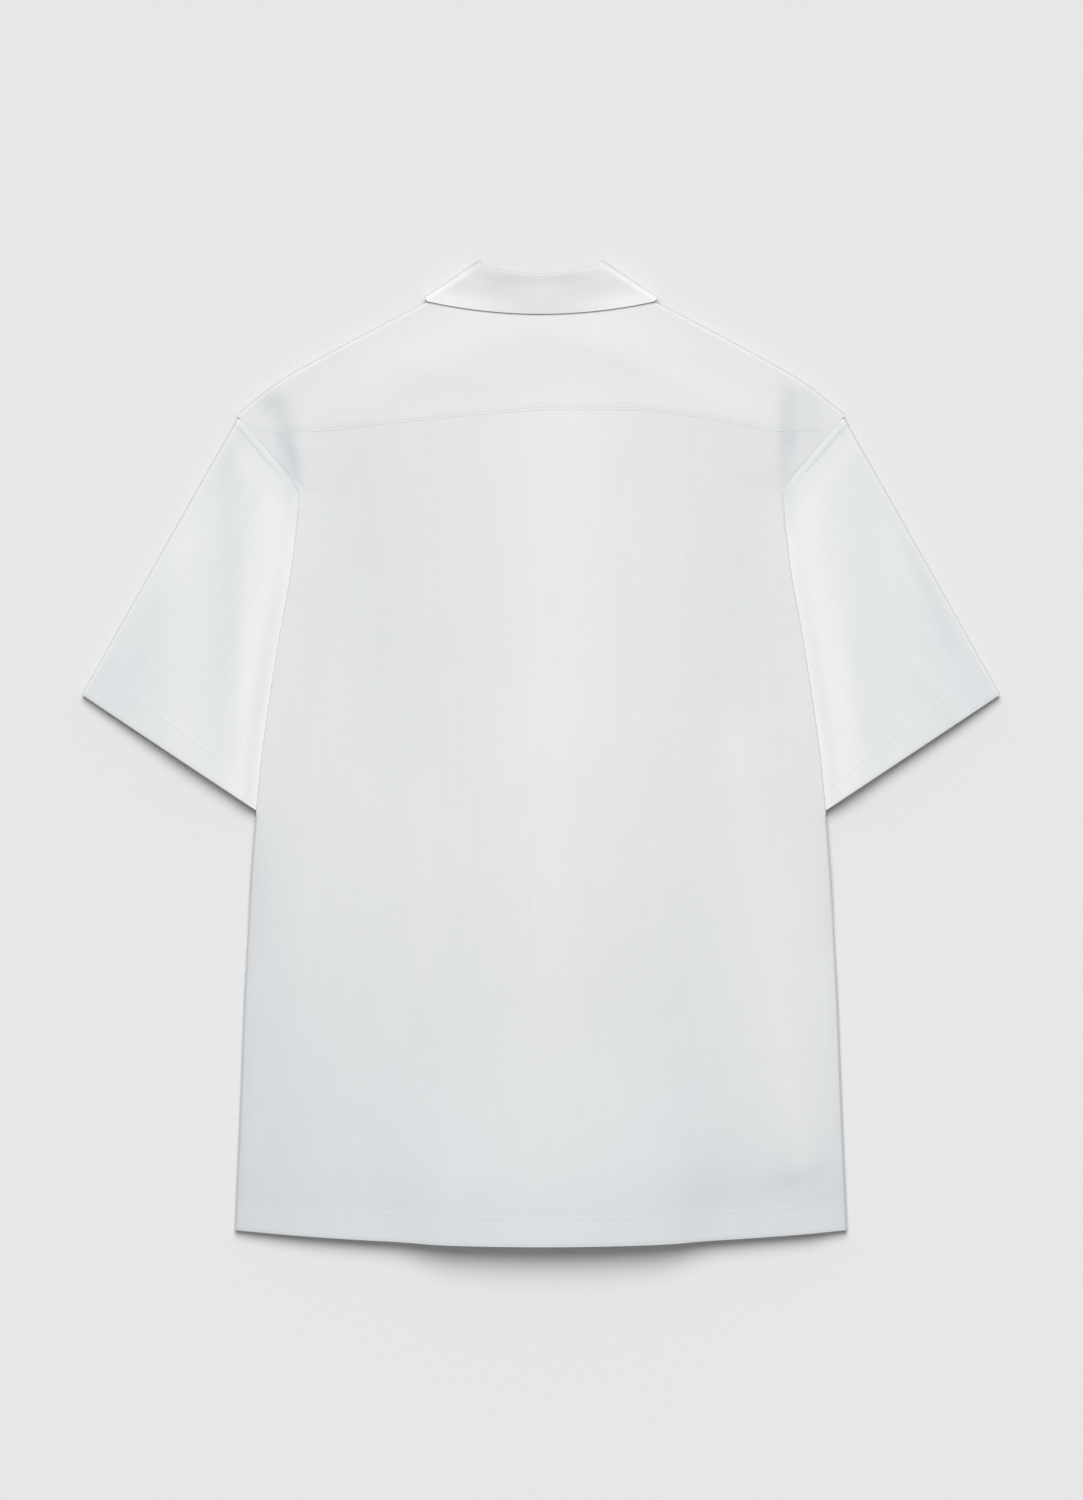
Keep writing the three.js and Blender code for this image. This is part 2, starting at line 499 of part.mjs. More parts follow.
// A sleeve: a flat tube, folded at the top and under the arm, open at the armhole and at the cuff.
function sleeve(side) {
  // Columns across the sleeve: up to 1 over the part that shows, and from 1 to 2 under the body.
  const across = [0, 0.1, 0.22, 0.35, 0.48, 0.6, 0.72, 0.82, 0.9, 0.95, 1, 1.4, 2];
  const under = [2, 1.4, 1, 0.95, 0.88, 0.66, 0.4, 0.15, 0];
  const foldTurns = [0, 45, 90, 135, 180].map(degToRad);
  const hem = HEM_DEPTH / SLEEVE_LENGTH;
  const along = [0, 0.06, 0.13, 0.21, 0.3, 0.4, 0.5, 0.6, 0.7, 0.8, 1 - hem - 0.012, 1 - hem, 1 - hem / 2, 1];
  const squareTo = (from, to) => {
    const long = Math.hypot(to.x - from.x, to.y - from.y);
    return { x: (from.y - to.y) / long, y: (to.x - from.x) / long };
  };
  const topWay = squareTo(TIP, CUFF_TOP);
  const underWay = squareTo(CUFF_UNDER, UNDERARM);
  const grid = along.map((t) => {
    const near = sleevePlace(t, 0);
    const far = sleevePlace(t, 1);
    const wide = Math.hypot(far.x - near.x, far.y - near.y);
    const square = Math.abs((far.x - near.x) * topWay.x + (far.y - near.y) * topWay.y) / wide;
    const foldRadius = at(SLEEVE, "t", "fold", t) / 2;
    const farLow = sleeveLow(far);
    const farRadius = (at(SLEEVE_AT_BODY, "y", "top", far.y) - farLow) / 2;
    const shown = shownShare(t);
    const inset = (column) => {
      if (column <= 1) return lerp(foldRadius / (wide * square), shown, column);
      return lerp(shown, 1 - farRadius / wide, column - 1);
    };
    const top = across.map((column) => {
      const place = sleevePlace(t, inset(column));
      return [place.x, place.y, sleeveTop(side, t, inset(column), place)];
    });
    const low = under.map((column) => {
      const place = sleevePlace(t, inset(column));
      return [place.x, place.y, sleeveLow(place)];
    });
    const fold = (centre, way, radius, start, turns) =>
      turns.slice(1, -1).map((turn) => {
        const [sin, cos] = [Math.sin(turn), Math.cos(turn)];
        return [centre[0] + way.x * radius * sin, centre[1] + way.y * radius * sin, start + radius * cos];
      });
    const farTop = top[top.length - 1];
    const farMid = (farTop[2] + farLow) / 2;
    const nearMid = (top[0][2] + low[low.length - 1][2]) / 2;
    return [
      ...top,
      ...fold(farTop, underWay, (farTop[2] - farLow) / 2, farMid, foldTurns),
      ...low,
      ...fold(top[0], topWay, (top[0][2] - low[low.length - 1][2]) / 2, nearMid, [...foldTurns].reverse()),
    ].map(([x, y, z]) => [side * x, y, z]);
  });
  return clothWall(grid, (i) => (i >= along.length - 3 ? HEM_FRONT : CLOTH), { facing: -side, ring: true });
}

// One section of the collar, from the neck seam round the roll to the outer edge. lie is 1 where the fall
// lies over the stand and -1 where it lies under it.
function collarSection({ neck, roll, edge, radius, lie, bend, rest }) {
  const away = [roll[0] - (neck[0] + edge[0]) / 2, roll[1] - (neck[1] + edge[1]) / 2];
  const long = Math.hypot(...away);
  const out = away.map((value) => value / long);
  const centre = [roll[0] - out[0] * radius, roll[1] - out[1] * radius, roll[2]];
  const turn = (angle) => [
    centre[0] + out[0] * radius * Math.cos(angle),
    centre[1] + out[1] * radius * Math.cos(angle),
    centre[2] + lie * radius * Math.sin(angle),
  ];
  const stand = [0, 0.5].map((share) => mix(neck, turn(-Math.PI / 2), share));
  const round = [-90, -45, 0, 45, 90].map((angle) => turn(degToRad(angle)));
  const fall = [0.2, 0.4, 0.6, 0.8, 1].map((share) => {
    const straight = mix(turn(Math.PI / 2), edge, share);
    if (bend && share < 1) {
      const place =
        share < bend.at
          ? mix(turn(Math.PI / 2), bend.point, share / bend.at)
          : mix(bend.point, edge, (share - bend.at) / (1 - bend.at));
      straight[0] = lerp(straight[0], place[0], bend.share);
      straight[1] = lerp(straight[1], place[1], bend.share);
    }
    const drop = smooth(share, [0.02, 0.8]);
    const z = lerp(turn(Math.PI / 2)[2], edge[2], drop);
    return [straight[0], straight[1], rest ? Math.max(z, rest(straight[0], straight[1])) : z];
  });
  return [...stand, ...round, ...fall];
}

// The collar on one side, as sections from the centre back, over the back, round the shoulder and under
// the front.
function collarSections(side) {
  const onYoke = (x, y) => backHeight(side * x, y) + SEAM_GAP + CLOTH;
  const over = [0, 0.16, 0.32, 0.48, 0.64, 0.78, 0.9, 1].map((a) => {
    const neckX = (NECK_HALF - NECK_GAP) * a;
    const edge = [FALL.reach * a, FALL.edgeY + FALL.rise * a ** 1.9];
    const neckEnd = neckY(neckX) + NECK_GAP / 2;
    const neckZ = lerp(backHeight(side * neckX, neckY(neckX)), FOLD_TOP, smooth(a, [0.6, 1]));
    const reachY = lerp(neckEnd, shoulderY(NECK_HALF) - (FOLD_TOP - COLLAR_LIFT) / 2, smooth(a, [0.7, 1]));
    return collarSection({
      neck: [neckX, reachY, neckZ - CLOTH],
      roll: [ROLL.reach * a, ROLL.backY + ROLL.rise * a ** 2, at(ROLL_HEIGHT, "a", "z", a) - ROLL.radius],
      edge: [...edge, lerp(onYoke(...edge), FALL.turnTop, smooth(a, [0.8, 1]))],
      radius: ROLL.radius,
      lie: 1,
      rest: onYoke,
    });
  });
  const gorge = mix([BREAK_HIGH.x, BREAK_HIGH.y], [LAPEL_TIP.x, LAPEL_TIP.y], GORGE_SHARE);
  const top = over[over.length - 1];
  const foldRadius = (CLOTH + COLLAR_LIFT + SEAM_GAP) / 2;
  const below = [0, 0.2, 0.4, 0.6, 0.8, 1].map((b) =>
    collarSection({
      neck: [lerp(NECK_HALF - NECK_GAP, LEAF.neckX, b ** 1.5), lerp(top[0][1], LEAF.neckY, b), 2 * foldRadius],
      roll: [
        lerp(ROLL.reach, BREAK_HIGH.x - 1.5, b),
        lerp(ROLL.backY + ROLL.rise, BREAK_HIGH.y + 2.2, b),
        foldRadius,
      ],
      edge: [lerp(FALL.reach, LEAF_TIP.x, b ** 1.4), lerp(FALL.edgeY + FALL.rise, LEAF_TIP.y, b), 0],
      radius: foldRadius,
      lie: -1,
      bend: { at: LEAF.bendAt, share: b ** 2, point: [gorge[0] + 1.2, gorge[1] + 1] },
    }),
  );
  const bottom = below[0];
  const turned = [60, 30, 0, -30, -60].map((angle) => {
    const [sin, cos] = [Math.sin(degToRad(angle)), Math.cos(degToRad(angle))];
    return top.map((upperPoint, k) => {
      const lowerPoint = bottom[k];
      const radius = Math.abs(upperPoint[2] - lowerPoint[2]) / 2;
      const bulge = k === 0 ? { x: 0, y: 1 } : COLLAR_TURN;
      return [
        lerp(lowerPoint[0], upperPoint[0], (1 + sin) / 2) + bulge.x * radius * cos,
        lerp(lowerPoint[1], upperPoint[1], (1 + sin) / 2) + bulge.y * radius * cos,
        lerp(lowerPoint[2], upperPoint[2], (1 + sin) / 2),
      ];
    });
  });
  return [...over, ...turned, ...below].map((section) => section.map(([x, y, z]) => [side * x, y, z]));
}

function collar() {
  const left = collarSections(-1);
  const right = collarSections(1);
  return clothWall([...left.slice(1).reverse(), ...right], CLOTH, { facing: -1 });
}

// A lapel: the front's facing, turned out flat under the front.
function lapel(side) {
  const cut = 2; // keeps the two lapels apart at the centre
  const onBreak = lerp(BREAK_LOW.y, BREAK_HIGH.y, (cut - BREAK_LOW.x) / (BREAK_HIGH.x - BREAK_LOW.x));
  const onEdge = lerp(BREAK_LOW.y, LAPEL_TIP.y, (cut - BREAK_LOW.x) / (LAPEL_TIP.x - BREAK_LOW.x));
  const corners = [
    [cut, onEdge],
    [LAPEL_TIP.x, LAPEL_TIP.y],
    [BREAK_HIGH.x - 0.5, BREAK_HIGH.y - 1],
    [cut, onBreak],
  ];
  const shape = new THREE.Shape(corners.map(([x, y]) => new THREE.Vector2(side * x, y)));
  return new THREE.ExtrudeGeometry(shape, { depth: CLOTH, bevelEnabled: false });
}

// A four-hole button, 11.5 mm across.
function button() {
  const round = (x, y, radius, sides) =>
    Array.from({ length: sides }, (_, k) => (2 * Math.PI * k) / sides).map(
      (turn) => new THREE.Vector2(x + radius * Math.cos(turn), y + radius * Math.sin(turn)),
    );
  const shape = new THREE.Shape(round(0, 0, BUTTON.radius, 24));
  for (const turn of [45, 135, 225, 315].map(degToRad)) {
    const [x, y] = [BUTTON.holeReach * Math.cos(turn), BUTTON.holeReach * Math.sin(turn)];
    shape.holes.push(new THREE.Path(round(x, y, BUTTON.holeRadius, 8)));
  }
  return new THREE.ExtrudeGeometry(shape, { depth: BUTTON.thick, bevelEnabled: false });
}

const clothWhite = new THREE.MeshStandardMaterial({ color: 0xeceeee, roughness: 0.9, metalness: 0 });
const collarWhite = new THREE.MeshStandardMaterial({ color: 0xf0f0ee, roughness: 0.88, metalness: 0 });
const buttonWhite = new THREE.MeshStandardMaterial({ color: 0xf2f1ec, roughness: 0.35, metalness: 0 });

const shirt = new THREE.Group();

function add(name, geometry, material, place = [0, 0, 0]) {
  const mesh = new THREE.Mesh(geometry, material);
  mesh.name = name;
  mesh.position.set(...place);
  shirt.add(mesh);
}

add("back", back(), clothWhite);
add("yoke", yoke(), clothWhite);
add("front_left", front(-1), clothWhite);
add("front_right", front(1), clothWhite);
add("sleeve_left", sleeve(-1), clothWhite);
add("sleeve_right", sleeve(1), clothWhite);
add("collar", collar(), collarWhite);
add("lapel_left", lapel(-1), clothWhite);
add("lapel_right", lapel(1), clothWhite);
for (let k = 0; k < BUTTON.count; k++) {
  add(`button_${k + 1}`, button(), buttonWhite, [0, BUTTON.top - k * BUTTON.pitch, 0]);
}

export default shirt;
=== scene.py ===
import functools
import math

import bpy
import numpy as np
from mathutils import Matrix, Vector


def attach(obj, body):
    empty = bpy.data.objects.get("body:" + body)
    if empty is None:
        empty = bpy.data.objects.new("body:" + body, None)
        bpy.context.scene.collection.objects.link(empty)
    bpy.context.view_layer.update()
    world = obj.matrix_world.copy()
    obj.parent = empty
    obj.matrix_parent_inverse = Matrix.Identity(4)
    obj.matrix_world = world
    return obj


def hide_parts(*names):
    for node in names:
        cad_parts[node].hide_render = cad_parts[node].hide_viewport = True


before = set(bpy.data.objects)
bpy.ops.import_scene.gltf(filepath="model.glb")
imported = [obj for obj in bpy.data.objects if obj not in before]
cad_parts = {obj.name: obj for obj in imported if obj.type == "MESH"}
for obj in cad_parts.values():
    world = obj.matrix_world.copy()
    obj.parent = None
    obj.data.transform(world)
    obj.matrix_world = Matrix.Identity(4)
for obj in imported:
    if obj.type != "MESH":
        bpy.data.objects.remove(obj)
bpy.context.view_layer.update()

# %% [markdown]
# # A bowling shirt, laid flat with its back up
#
# The shirt is sewn from a back, a yoke, two fronts, two sleeves and a one-piece collar, in a white
# cotton poplin with a faint upright slub. Its fronts are open at the neck, where their facings
# turn out as lapels.
#
# Everything below is worked out in millimetres and turned to metres when a mesh is made. Up is Z,
# the collar is towards +Y, and the wearer's left is -X.

# %% Small helpers for numbers
MM = 0.001


def table(columns, *rows):
    """Rows of numbers under named columns, as a dictionary of arrays."""
    names = columns.split()
    values = np.array(rows, dtype=float)
    return {name: values[:, k] for k, name in enumerate(names)}


def ease(x, low, high):
    """Goes smoothly from 0 at low to 1 at high."""
    t = np.clip((np.asarray(x, dtype=float) - low) / (high - low), 0, 1)
    return t * t * (3 - 2 * t)


def mix(a, b, t):
    return a + (b - a) * t


def hump(x, middle, wide):
    """A soft hump that is 1 at its middle and fades out over about its width to each side."""
    return np.exp(-(((x - middle) / wide) ** 2))


def read(rows, column, where):
    """A column's value by the first one, on a smooth curve through the rows that overshoots nowhere."""
    key = next(iter(rows))
    order = np.argsort(rows[key])
    xs, ys = rows[key][order], rows[column][order]
    chord = np.diff(ys) / np.diff(xs)
    before = np.concatenate([chord[:1], chord])
    after = np.concatenate([chord, chord[-1:]])
    total = np.where(before * after > 0, before + after, 1)
    slope = np.where(before * after > 0, 2 * before * after / total, 0)
    where = np.clip(np.asarray(where, dtype=float), xs[0], xs[-1])
    i = np.clip(np.searchsorted(xs, where, side="right") - 1, 0, len(xs) - 2)
    span = xs[i + 1] - xs[i]
    t = (where - xs[i]) / span
    low, high = slope[i] * span, slope[i + 1] * span
    start = (1 + 2 * t) * (1 - t) ** 2 * ys[i] + t * (1 - t) ** 2 * low
    return start + t * t * (3 - 2 * t) * ys[i + 1] - t * t * (1 - t) * high


# %% [markdown]
# ## The camera
#
# The shirt is seen from straight above. A long lens from over three metres away keeps the edges of
# the garment free of perspective, as in a shop's laid-flat picture.

# %% Place the camera
FRAME_HEIGHT = 1.1625  # metres seen from top to bottom
FRAME_MIDDLE = (0.0004, 0.0023, 0.009)
camera_data = bpy.data.cameras.new("camera_above")
camera_data.lens = 100
camera_data.sensor_width = 36
camera_data.clip_end = 20
camera = bpy.data.objects.new("camera_above", camera_data)
bpy.context.collection.objects.link(camera)
distance = FRAME_HEIGHT * camera_data.lens / camera_data.sensor_width
camera.location = (FRAME_MIDDLE[0], FRAME_MIDDLE[1], FRAME_MIDDLE[2] + distance)
bpy.context.scene.camera = camera
print("Camera height in metres:", round(camera.location.z, 3))

# %% [markdown]
# ## The light
#
# One very broad soft light from beyond the collar makes the shadows that show under the hem and
# the cuffs, and an even pale surround fills them. The sun lamp is used for the broad light, since
# it lights the whole table evenly, and its wide angle gives the soft edge of a large softbox.

# %% Make the light
KEY_ELEVATION = math.radians(52)
KEY_SOFTNESS = math.radians(44)
KEY_STRENGTH = 2.82
SURROUND = 0.30

key_data = bpy.data.lights.new("soft_key", "SUN")
key_data.angle = KEY_SOFTNESS
key_data.energy = KEY_STRENGTH
key_data.color = (1.0, 0.998, 0.99)
key = bpy.data.objects.new("soft_key", key_data)
bpy.context.collection.objects.link(key)
towards_light = Vector((-0.03, math.cos(KEY_ELEVATION), math.sin(KEY_ELEVATION)))
key.rotation_mode = "QUATERNION"
key.rotation_quaternion = towards_light.to_track_quat("Z", "Y")

world = bpy.data.worlds.new("pale_surround")
bpy.context.scene.world = world
world.use_nodes = True
world.node_tree.nodes["Background"].inputs["Color"].default_value = (0.985, 0.992, 1.0, 1)
world.node_tree.nodes["Background"].inputs["Strength"].default_value = SURROUND
bpy.context.scene.view_settings.view_transform = "Standard"
print("Key light from", round(math.degrees(KEY_ELEVATION)), "degrees up")

# %% [markdown]
# ## Materials
#
# Each material starts from the real one. Four small functions serve them all. One turns an sRGB
# colour to the linear values that the renderer works in, one sets a node's sockets, one starts a
# material, and one adds a node with its settings and its links.


# %% Helpers for materials
def linear(colour):
    """An sRGB hex colour as linear RGBA."""
    parts = [int(colour[k : k + 2], 16) / 255 for k in (1, 3, 5)]
    return [v / 12.92 if v <= 0.04045 else ((v + 0.055) / 1.055) ** 2.4 for v in parts] + [1.0]


def set_sockets(node, values):
    """Sets a node's sockets by their names, written with _ for each space."""
    for name, value in values.items():
        node.inputs[name.replace("_", " ")].default_value = value


def new_material(name, **values):
    """A material and its surface node, with that node's sockets set."""
    material = bpy.data.materials.new(name)
    material.use_nodes = True
    surface = material.node_tree.nodes["Principled BSDF"]
    set_sockets(surface, values)
    return material, surface


def add_node(tree, kind, links=(), settings=(), **values):
    """Adds a node: links are (socket, source), settings its properties, and values its sockets."""
    made = tree.nodes.new("ShaderNode" + kind)
    for name, value in dict(settings).items():
        setattr(made, name, value)
    set_sockets(made, values)
    for socket, source in links:
        tree.links.new(source, made.inputs[socket])
    return made


# %% [markdown]
# ### Cotton poplin
#
# The body is a light white cotton poplin, plain-woven on fine yarns and finished matt. Its warp has
# slubs: some yarns are thicker for part of their length, and give the faint upright lines that show
# on the back. Real slubs here are about 0.3 mm wide and lie 2 to 4 mm apart. They are drawn 1.2 mm
# wide, so that they show. Crosswise the weave gives the surface a finer, softer grain.
#
# Each piece has its own grain direction: a sleeve's warp runs down the arm, and so does its slub.
# The cloth also has shade painted into its colour. Each mesh carries a share of painted shade as an
# attribute, which mixes its colour towards a cooler grey where shade should fall. Where the cloth
# turns upright its colour is darkened as painted shade, the more so where it faces the lamp, so that
# a folded edge has no bright rim.


# %% Cotton poplin
SLUB_SPACING = 3.1 * MM
SLUB_LENGTH = 70 * MM
GRAIN_SIZE = 1.1 * MM
RUMPLES_PER_METRE = 38.0  # soft unevenness, about 26 mm from one rise to the next
# Painted shade on edges: cloth that turns upright is darkened, and more where it faces the lamp
EDGE_SHADE = 0.78  # the share of its colour that cloth keeps where it stands upright
LIT_EDGE_SHADE = 0.62  # and where such an edge faces the light, which would glare there
MIX_SHARE, MIX_FIRST, MIX_SECOND, MIX_RESULT = 0, 6, 7, 2  # places of a colour mix's sockets


def cotton_poplin(name, crest, painted_shade, grain_turn=0.0, slub_depth=0.07 * MM):
    material, surface = new_material(
        name, Roughness=0.88, IOR=1.45, Specular_IOR_Level=0.22, Sheen_Weight=0.06, Sheen_Roughness=0.5
    )
    tree = material.node_tree

    def noise(vector, scale, detail, roughness=0.5):
        values = {"Scale": scale, "Detail": detail, "Roughness": roughness}
        return add_node(tree, "TexNoise", [("Vector", vector)], **values).outputs["Fac"]

    def bump(height, over, strength, distance):
        links = [("Height", height)] + [("Normal", normal) for normal in over]
        return add_node(tree, "Bump", links, Strength=strength, Distance=distance).outputs["Normal"]

    def map_range(links, **values):
        return add_node(tree, "MapRange", links, **values).outputs["Result"]

    def colour_mix(blend, *links):
        made = add_node(tree, "Mix", links, {"data_type": "RGBA", "blend_type": blend})
        made.inputs[MIX_SHARE].default_value = 1.0
        return made

    place = add_node(tree, "TexCoord").outputs["Object"]
    turned = add_node(tree, "Mapping", [("Vector", place)], Rotation=(0, 0, grain_turn)).outputs["Vector"]
    warp_scale = (1 / SLUB_SPACING, 1 / SLUB_LENGTH, 40)
    along_warp = add_node(tree, "Mapping", [("Vector", turned)], Scale=warp_scale).outputs["Vector"]
    slub = noise(along_warp, 1.0, 3.0, 0.62)
    relief = bump(slub, [], 0.45, slub_depth * 4)
    relief = bump(noise(turned, 1 / GRAIN_SIZE, 2.0), [relief], 0.30, 0.12 * MM)
    relief = bump(noise(turned, RUMPLES_PER_METRE, 2.5), [relief], 0.28, 1.1 * MM)
    # Painted shade: the mesh's attribute mixes the lit colour towards the cooler shade colour
    painted_shade_share = add_node(tree, "Attribute", settings={"attribute_name": "painted_shade"}).outputs["Fac"]
    tone = colour_mix("MIX", (MIX_SHARE, painted_shade_share))
    tone.inputs[MIX_FIRST].default_value = linear(crest)
    tone.inputs[MIX_SECOND].default_value = linear(painted_shade)
    thread_tone = map_range([("Value", slub)], From_Min=0.3, From_Max=0.7, To_Min=0.982)
    woven = colour_mix("MULTIPLY", (MIX_FIRST, tone.outputs[MIX_RESULT]), (MIX_SECOND, thread_tone))
    # Painted shade by the way the face turns: upright faces darker, most of all those facing the lamp
    normal = add_node(tree, "NewGeometry").outputs["Normal"]
    ways = add_node(tree, "SeparateXYZ", [(0, normal)]).outputs
    squared = [(0, ways["Z"]), (1, ways["Z"])]
    level = add_node(tree, "Math", squared, {"operation": "MULTIPLY"}).outputs[0]
    to_light = map_range([("Value", ways["Y"])], To_Min=EDGE_SHADE, To_Max=LIT_EDGE_SHADE)
    painted_edge_shade = map_range([("Value", level), ("To Min", to_light)])
    shaded = colour_mix("MULTIPLY", (MIX_FIRST, woven.outputs[MIX_RESULT]), (MIX_SECOND, painted_edge_shade))
    tree.links.new(shaded.outputs[MIX_RESULT], surface.inputs["Base Color"])
    tree.links.new(relief, surface.inputs["Normal"])
    return material


SLEEVE_TURN = math.radians(31)
# The pieces are lit and shaded copies of one poplin: each has a lit colour and a cooler painted shade colour,
# and the sleeves and the collar are painted lighter than the body.
body_poplin = cotton_poplin("white_cotton_poplin_body", "#E8E9EA", "#C9CED2")
yoke_poplin = cotton_poplin("white_cotton_poplin_yoke", "#E7E9E9", "#DADDDD", slub_depth=0.05 * MM)
left_poplin = cotton_poplin("white_cotton_poplin_left_sleeve", "#EFF0EF", "#D8DCDF", SLEEVE_TURN)
right_poplin = cotton_poplin("white_cotton_poplin_right_sleeve", "#EFF0EF", "#D8DCDF", -SLEEVE_TURN)
collar_poplin = cotton_poplin("fused_cotton_poplin_collar", "#F5F5F5", "#DEDEDE", slub_depth=0.04 * MM)
print("Poplin materials:", len([m for m in bpy.data.materials if "poplin" in m.name]))

# %% [markdown]
# ## How a panel is made
#
# Cloth has two faces and a thickness, so each panel is a grid of points on its outer face and the
# same grid moved in by the cloth's thickness, with a rim round the edge. The rim's edges are
# marked sharp, and the faces are smooth.

# %% The panel builder
POPLIN = 0.9  # as thick as the cloth and its seam allowance together
SHARP_ANGLE = math.radians(48)
SIDE_NAMES = {-1: "left", 1: "right"}  # the wearer's sides, by the sign of X


def new_piece(name, points, faces, material, sharp=True):
    """A visible piece from points in millimetres, which rides on the shirt's one body."""
    mesh = bpy.data.meshes.new(name)
    mesh.from_pydata((np.asarray(points) * MM).tolist(), [], faces)
    mesh.polygons.foreach_set("use_smooth", [True] * len(mesh.polygons))
    if sharp:
        mesh.set_sharp_from_angle(angle=SHARP_ANGLE)
    mesh.materials.append(material)
    made = bpy.data.objects.new(name, mesh)
    bpy.context.collection.objects.link(made)
    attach(made, "root")
    return made


def cloth_panel(
    name, grid, material, thick=POPLIN, facing=1, ring=False, keep=None, painted_shade=0.0
):
    """A closed panel from a grid of outer points in millimetres."""
    rows, columns = grid.shape[:2]
    index = np.arange(rows * columns).reshape(rows, columns)
    if ring:
        index = np.concatenate([index, index[:, :1]], axis=1)
    quads = np.stack([index[:-1, :-1], index[1:, :-1], index[1:, 1:], index[:-1, 1:]], axis=-1)
    if keep is not None:
        quads = quads[keep]
    quads = quads.reshape(-1, 4)[:, ::facing]
    outer = grid.reshape(-1, 3)
    across = np.cross(outer[quads[:, 2]] - outer[quads[:, 0]], outer[quads[:, 3]] - outer[quads[:, 1]])
    normals = np.zeros_like(outer)
    for k in range(4):
        np.add.at(normals, quads[:, k], across)
    normals /= np.maximum(np.linalg.norm(normals, axis=1, keepdims=True), 1e-9)
    count = len(outer)
    edges = np.concatenate([quads[:, [k, (k + 1) % 4]] for k in range(4)])
    known = set(map(tuple, edges.tolist()))
    rim = [(q, p, p + count, q + count) for p, q in known if (q, p) not in known]
    faces = quads.tolist() + (quads[:, ::-1] + count).tolist() + rim
    used = np.zeros(2 * count, dtype=bool)
    used[np.array(faces)] = True
    faces = (np.cumsum(used) - 1)[np.array(faces)].tolist()
    points = np.concatenate([outer, outer - normals * thick])[used]
    made = new_piece(name, points, faces, material)
    # Painted shade: each point's share is kept as a mesh attribute for the cloth's colour
    painted_shade_share = np.tile(np.broadcast_to(np.clip(painted_shade, 0, 1), (rows, columns)).reshape(-1), 2)[used]
    attribute = made.data.attributes.new("painted_shade", "FLOAT", "POINT")
    attribute.data.foreach_set("value", painted_shade_share.astype(np.float32))
    print(name, "has", len(faces), "faces")
    return made


# %% [markdown]
# ## The cut
#
# These are the garment's own sizes: its side line, shoulder, yoke seam, neck and hem. A flat
# garment is still not flat. The back rests on its side folds and on the sleeves tucked under
# them, and rises to a broad low crest down the middle.

# %% Sizes of the shirt
HEM_DEPTH = 21  # of the turned-up band at the hem and at the cuffs
HEM_SIDE_Y, HEM_SAG, HEM_HALF = -370, 11.0, 238  # the hem's ends, its lower middle and half its width
NECK_HALF, NECK_BACK_Y, NECK_RISE = 66, 349, 10  # the neck seam, which is higher at its ends
FOLD_TOP, YOKE_TURN = 8.4, 24  # how high the shoulder fold stands, and how far the yoke goes under it
EDGE_REACH, SPREAD_RISE = 42, 1.4  # the back comes to that height this far in, and rises on by this
TIP, CUFF_TOP, CUFF_UNDER, UNDERARM = (236, 262), (356.5, 45.5), (196, -61), (187, 62)
TUCK_Y = 203  # below this the sleeve is tucked under the body

# The edge of the body by height: its half width, how high its top is, how far in the roll starts,
# and the arc and the turn in degrees of the back's roll and the front's.
SIDE = table(
    "y half top inset back_arc back_turn front_arc front_turn",
    (262, 236, 8.4, 3, 3, 9, 3, 9), (208, 191.6, 7.3, 3, 3, 9, 3, 9),
    (203, 188.2, 7.2, 3, 3, 9, 3, 9), (197, 188.3, 7.3, 2.4, 2.6, 25, 3, 9),
    (184, 188.8, 7.8, 1.8, 2.6, 60, 3, 9), (165, 190.9, 8.6, 1.4, 3.2, 130, 3, 9),
    (140, 194.2, 9.5, 1.3, 3.6, 180, 3, 9), (88, 203.5, 9.6, 1.3, 3.6, 180, 3, 9),
    (-5, 217, 10.2, 1.3, 3.6, 180, 3, 9), (-46, 221.1, 10.0, 1.3, 3.6, 180, 3, 9),
    (-53, 221.7, 9.8, 3.3, 6.8, 117, 6.5, 120), (-75, 223.6, 9.5, 3.3, 6.4, 112, 6.5, 120),
    (-112, 226.0, 8.1, 3.2, 4.6, 76, 7.2, 131), (-150, 228.2, 6.8, 3.2, 2.2, 37, 7.9, 142),
    (-191, 230.5, 6.4, 3.2, 1.75, 31, 7.9, 142), (-269, 233.5, 6.4, 3.2, 1.75, 31, 7.9, 142),
    (-370, 238, 6.4, 3.2, 1.75, 31, 7.9, 142),
)
SHOULDER = table("x y", (66, 362), (92, 348.5), (125, 331.7), (162, 312), (204, 288), (236, 263))
YOKE_SEAM = table(
    "x y",
    (-226, 249.3), (-183, 249.5), (-110, 256.5), (-42, 262.7), (14, 266), (70, 265.8), (122, 260.4),
    (185, 249.8), (226, 249.3),
)
# The broad crest of the back: its rise, where its middle lies and how far it spreads.
LOFT = table(
    "y rise middle spread",
    (366, 3.4, 6, 120), (260, 5.6, 10, 115), (120, 7.6, 18, 105), (-60, 8.2, 14, 112),
    (-220, 7.4, 10, 125), (-383, 6.6, 8, 135),
)
# Between left and right the hem stands off the table by rise, over a step at each end.
HEM_WAVE = {"left": -93, "right": 113, "step": 18, "rise": 7.9, "reach": 190, "widen": 70, "drop": 0.3}


def side_half(y):
    return read(SIDE, "half", y)


def shoulder_y(x):
    x = np.abs(x)
    near_neck = SHOULDER["y"][0] + (NECK_HALF - x) * 0.35
    return np.where(x < NECK_HALF, near_neck, read(SHOULDER, "y", x))


def yoke_seam_y(x):
    return read(YOKE_SEAM, "y", x)


def neck_y(x):
    return NECK_BACK_Y + NECK_RISE * (x / NECK_HALF) ** 2


def hem_y(x):
    return HEM_SIDE_Y - HEM_SAG * (1 - np.minimum(1, np.abs(x) / HEM_HALF) ** 2)


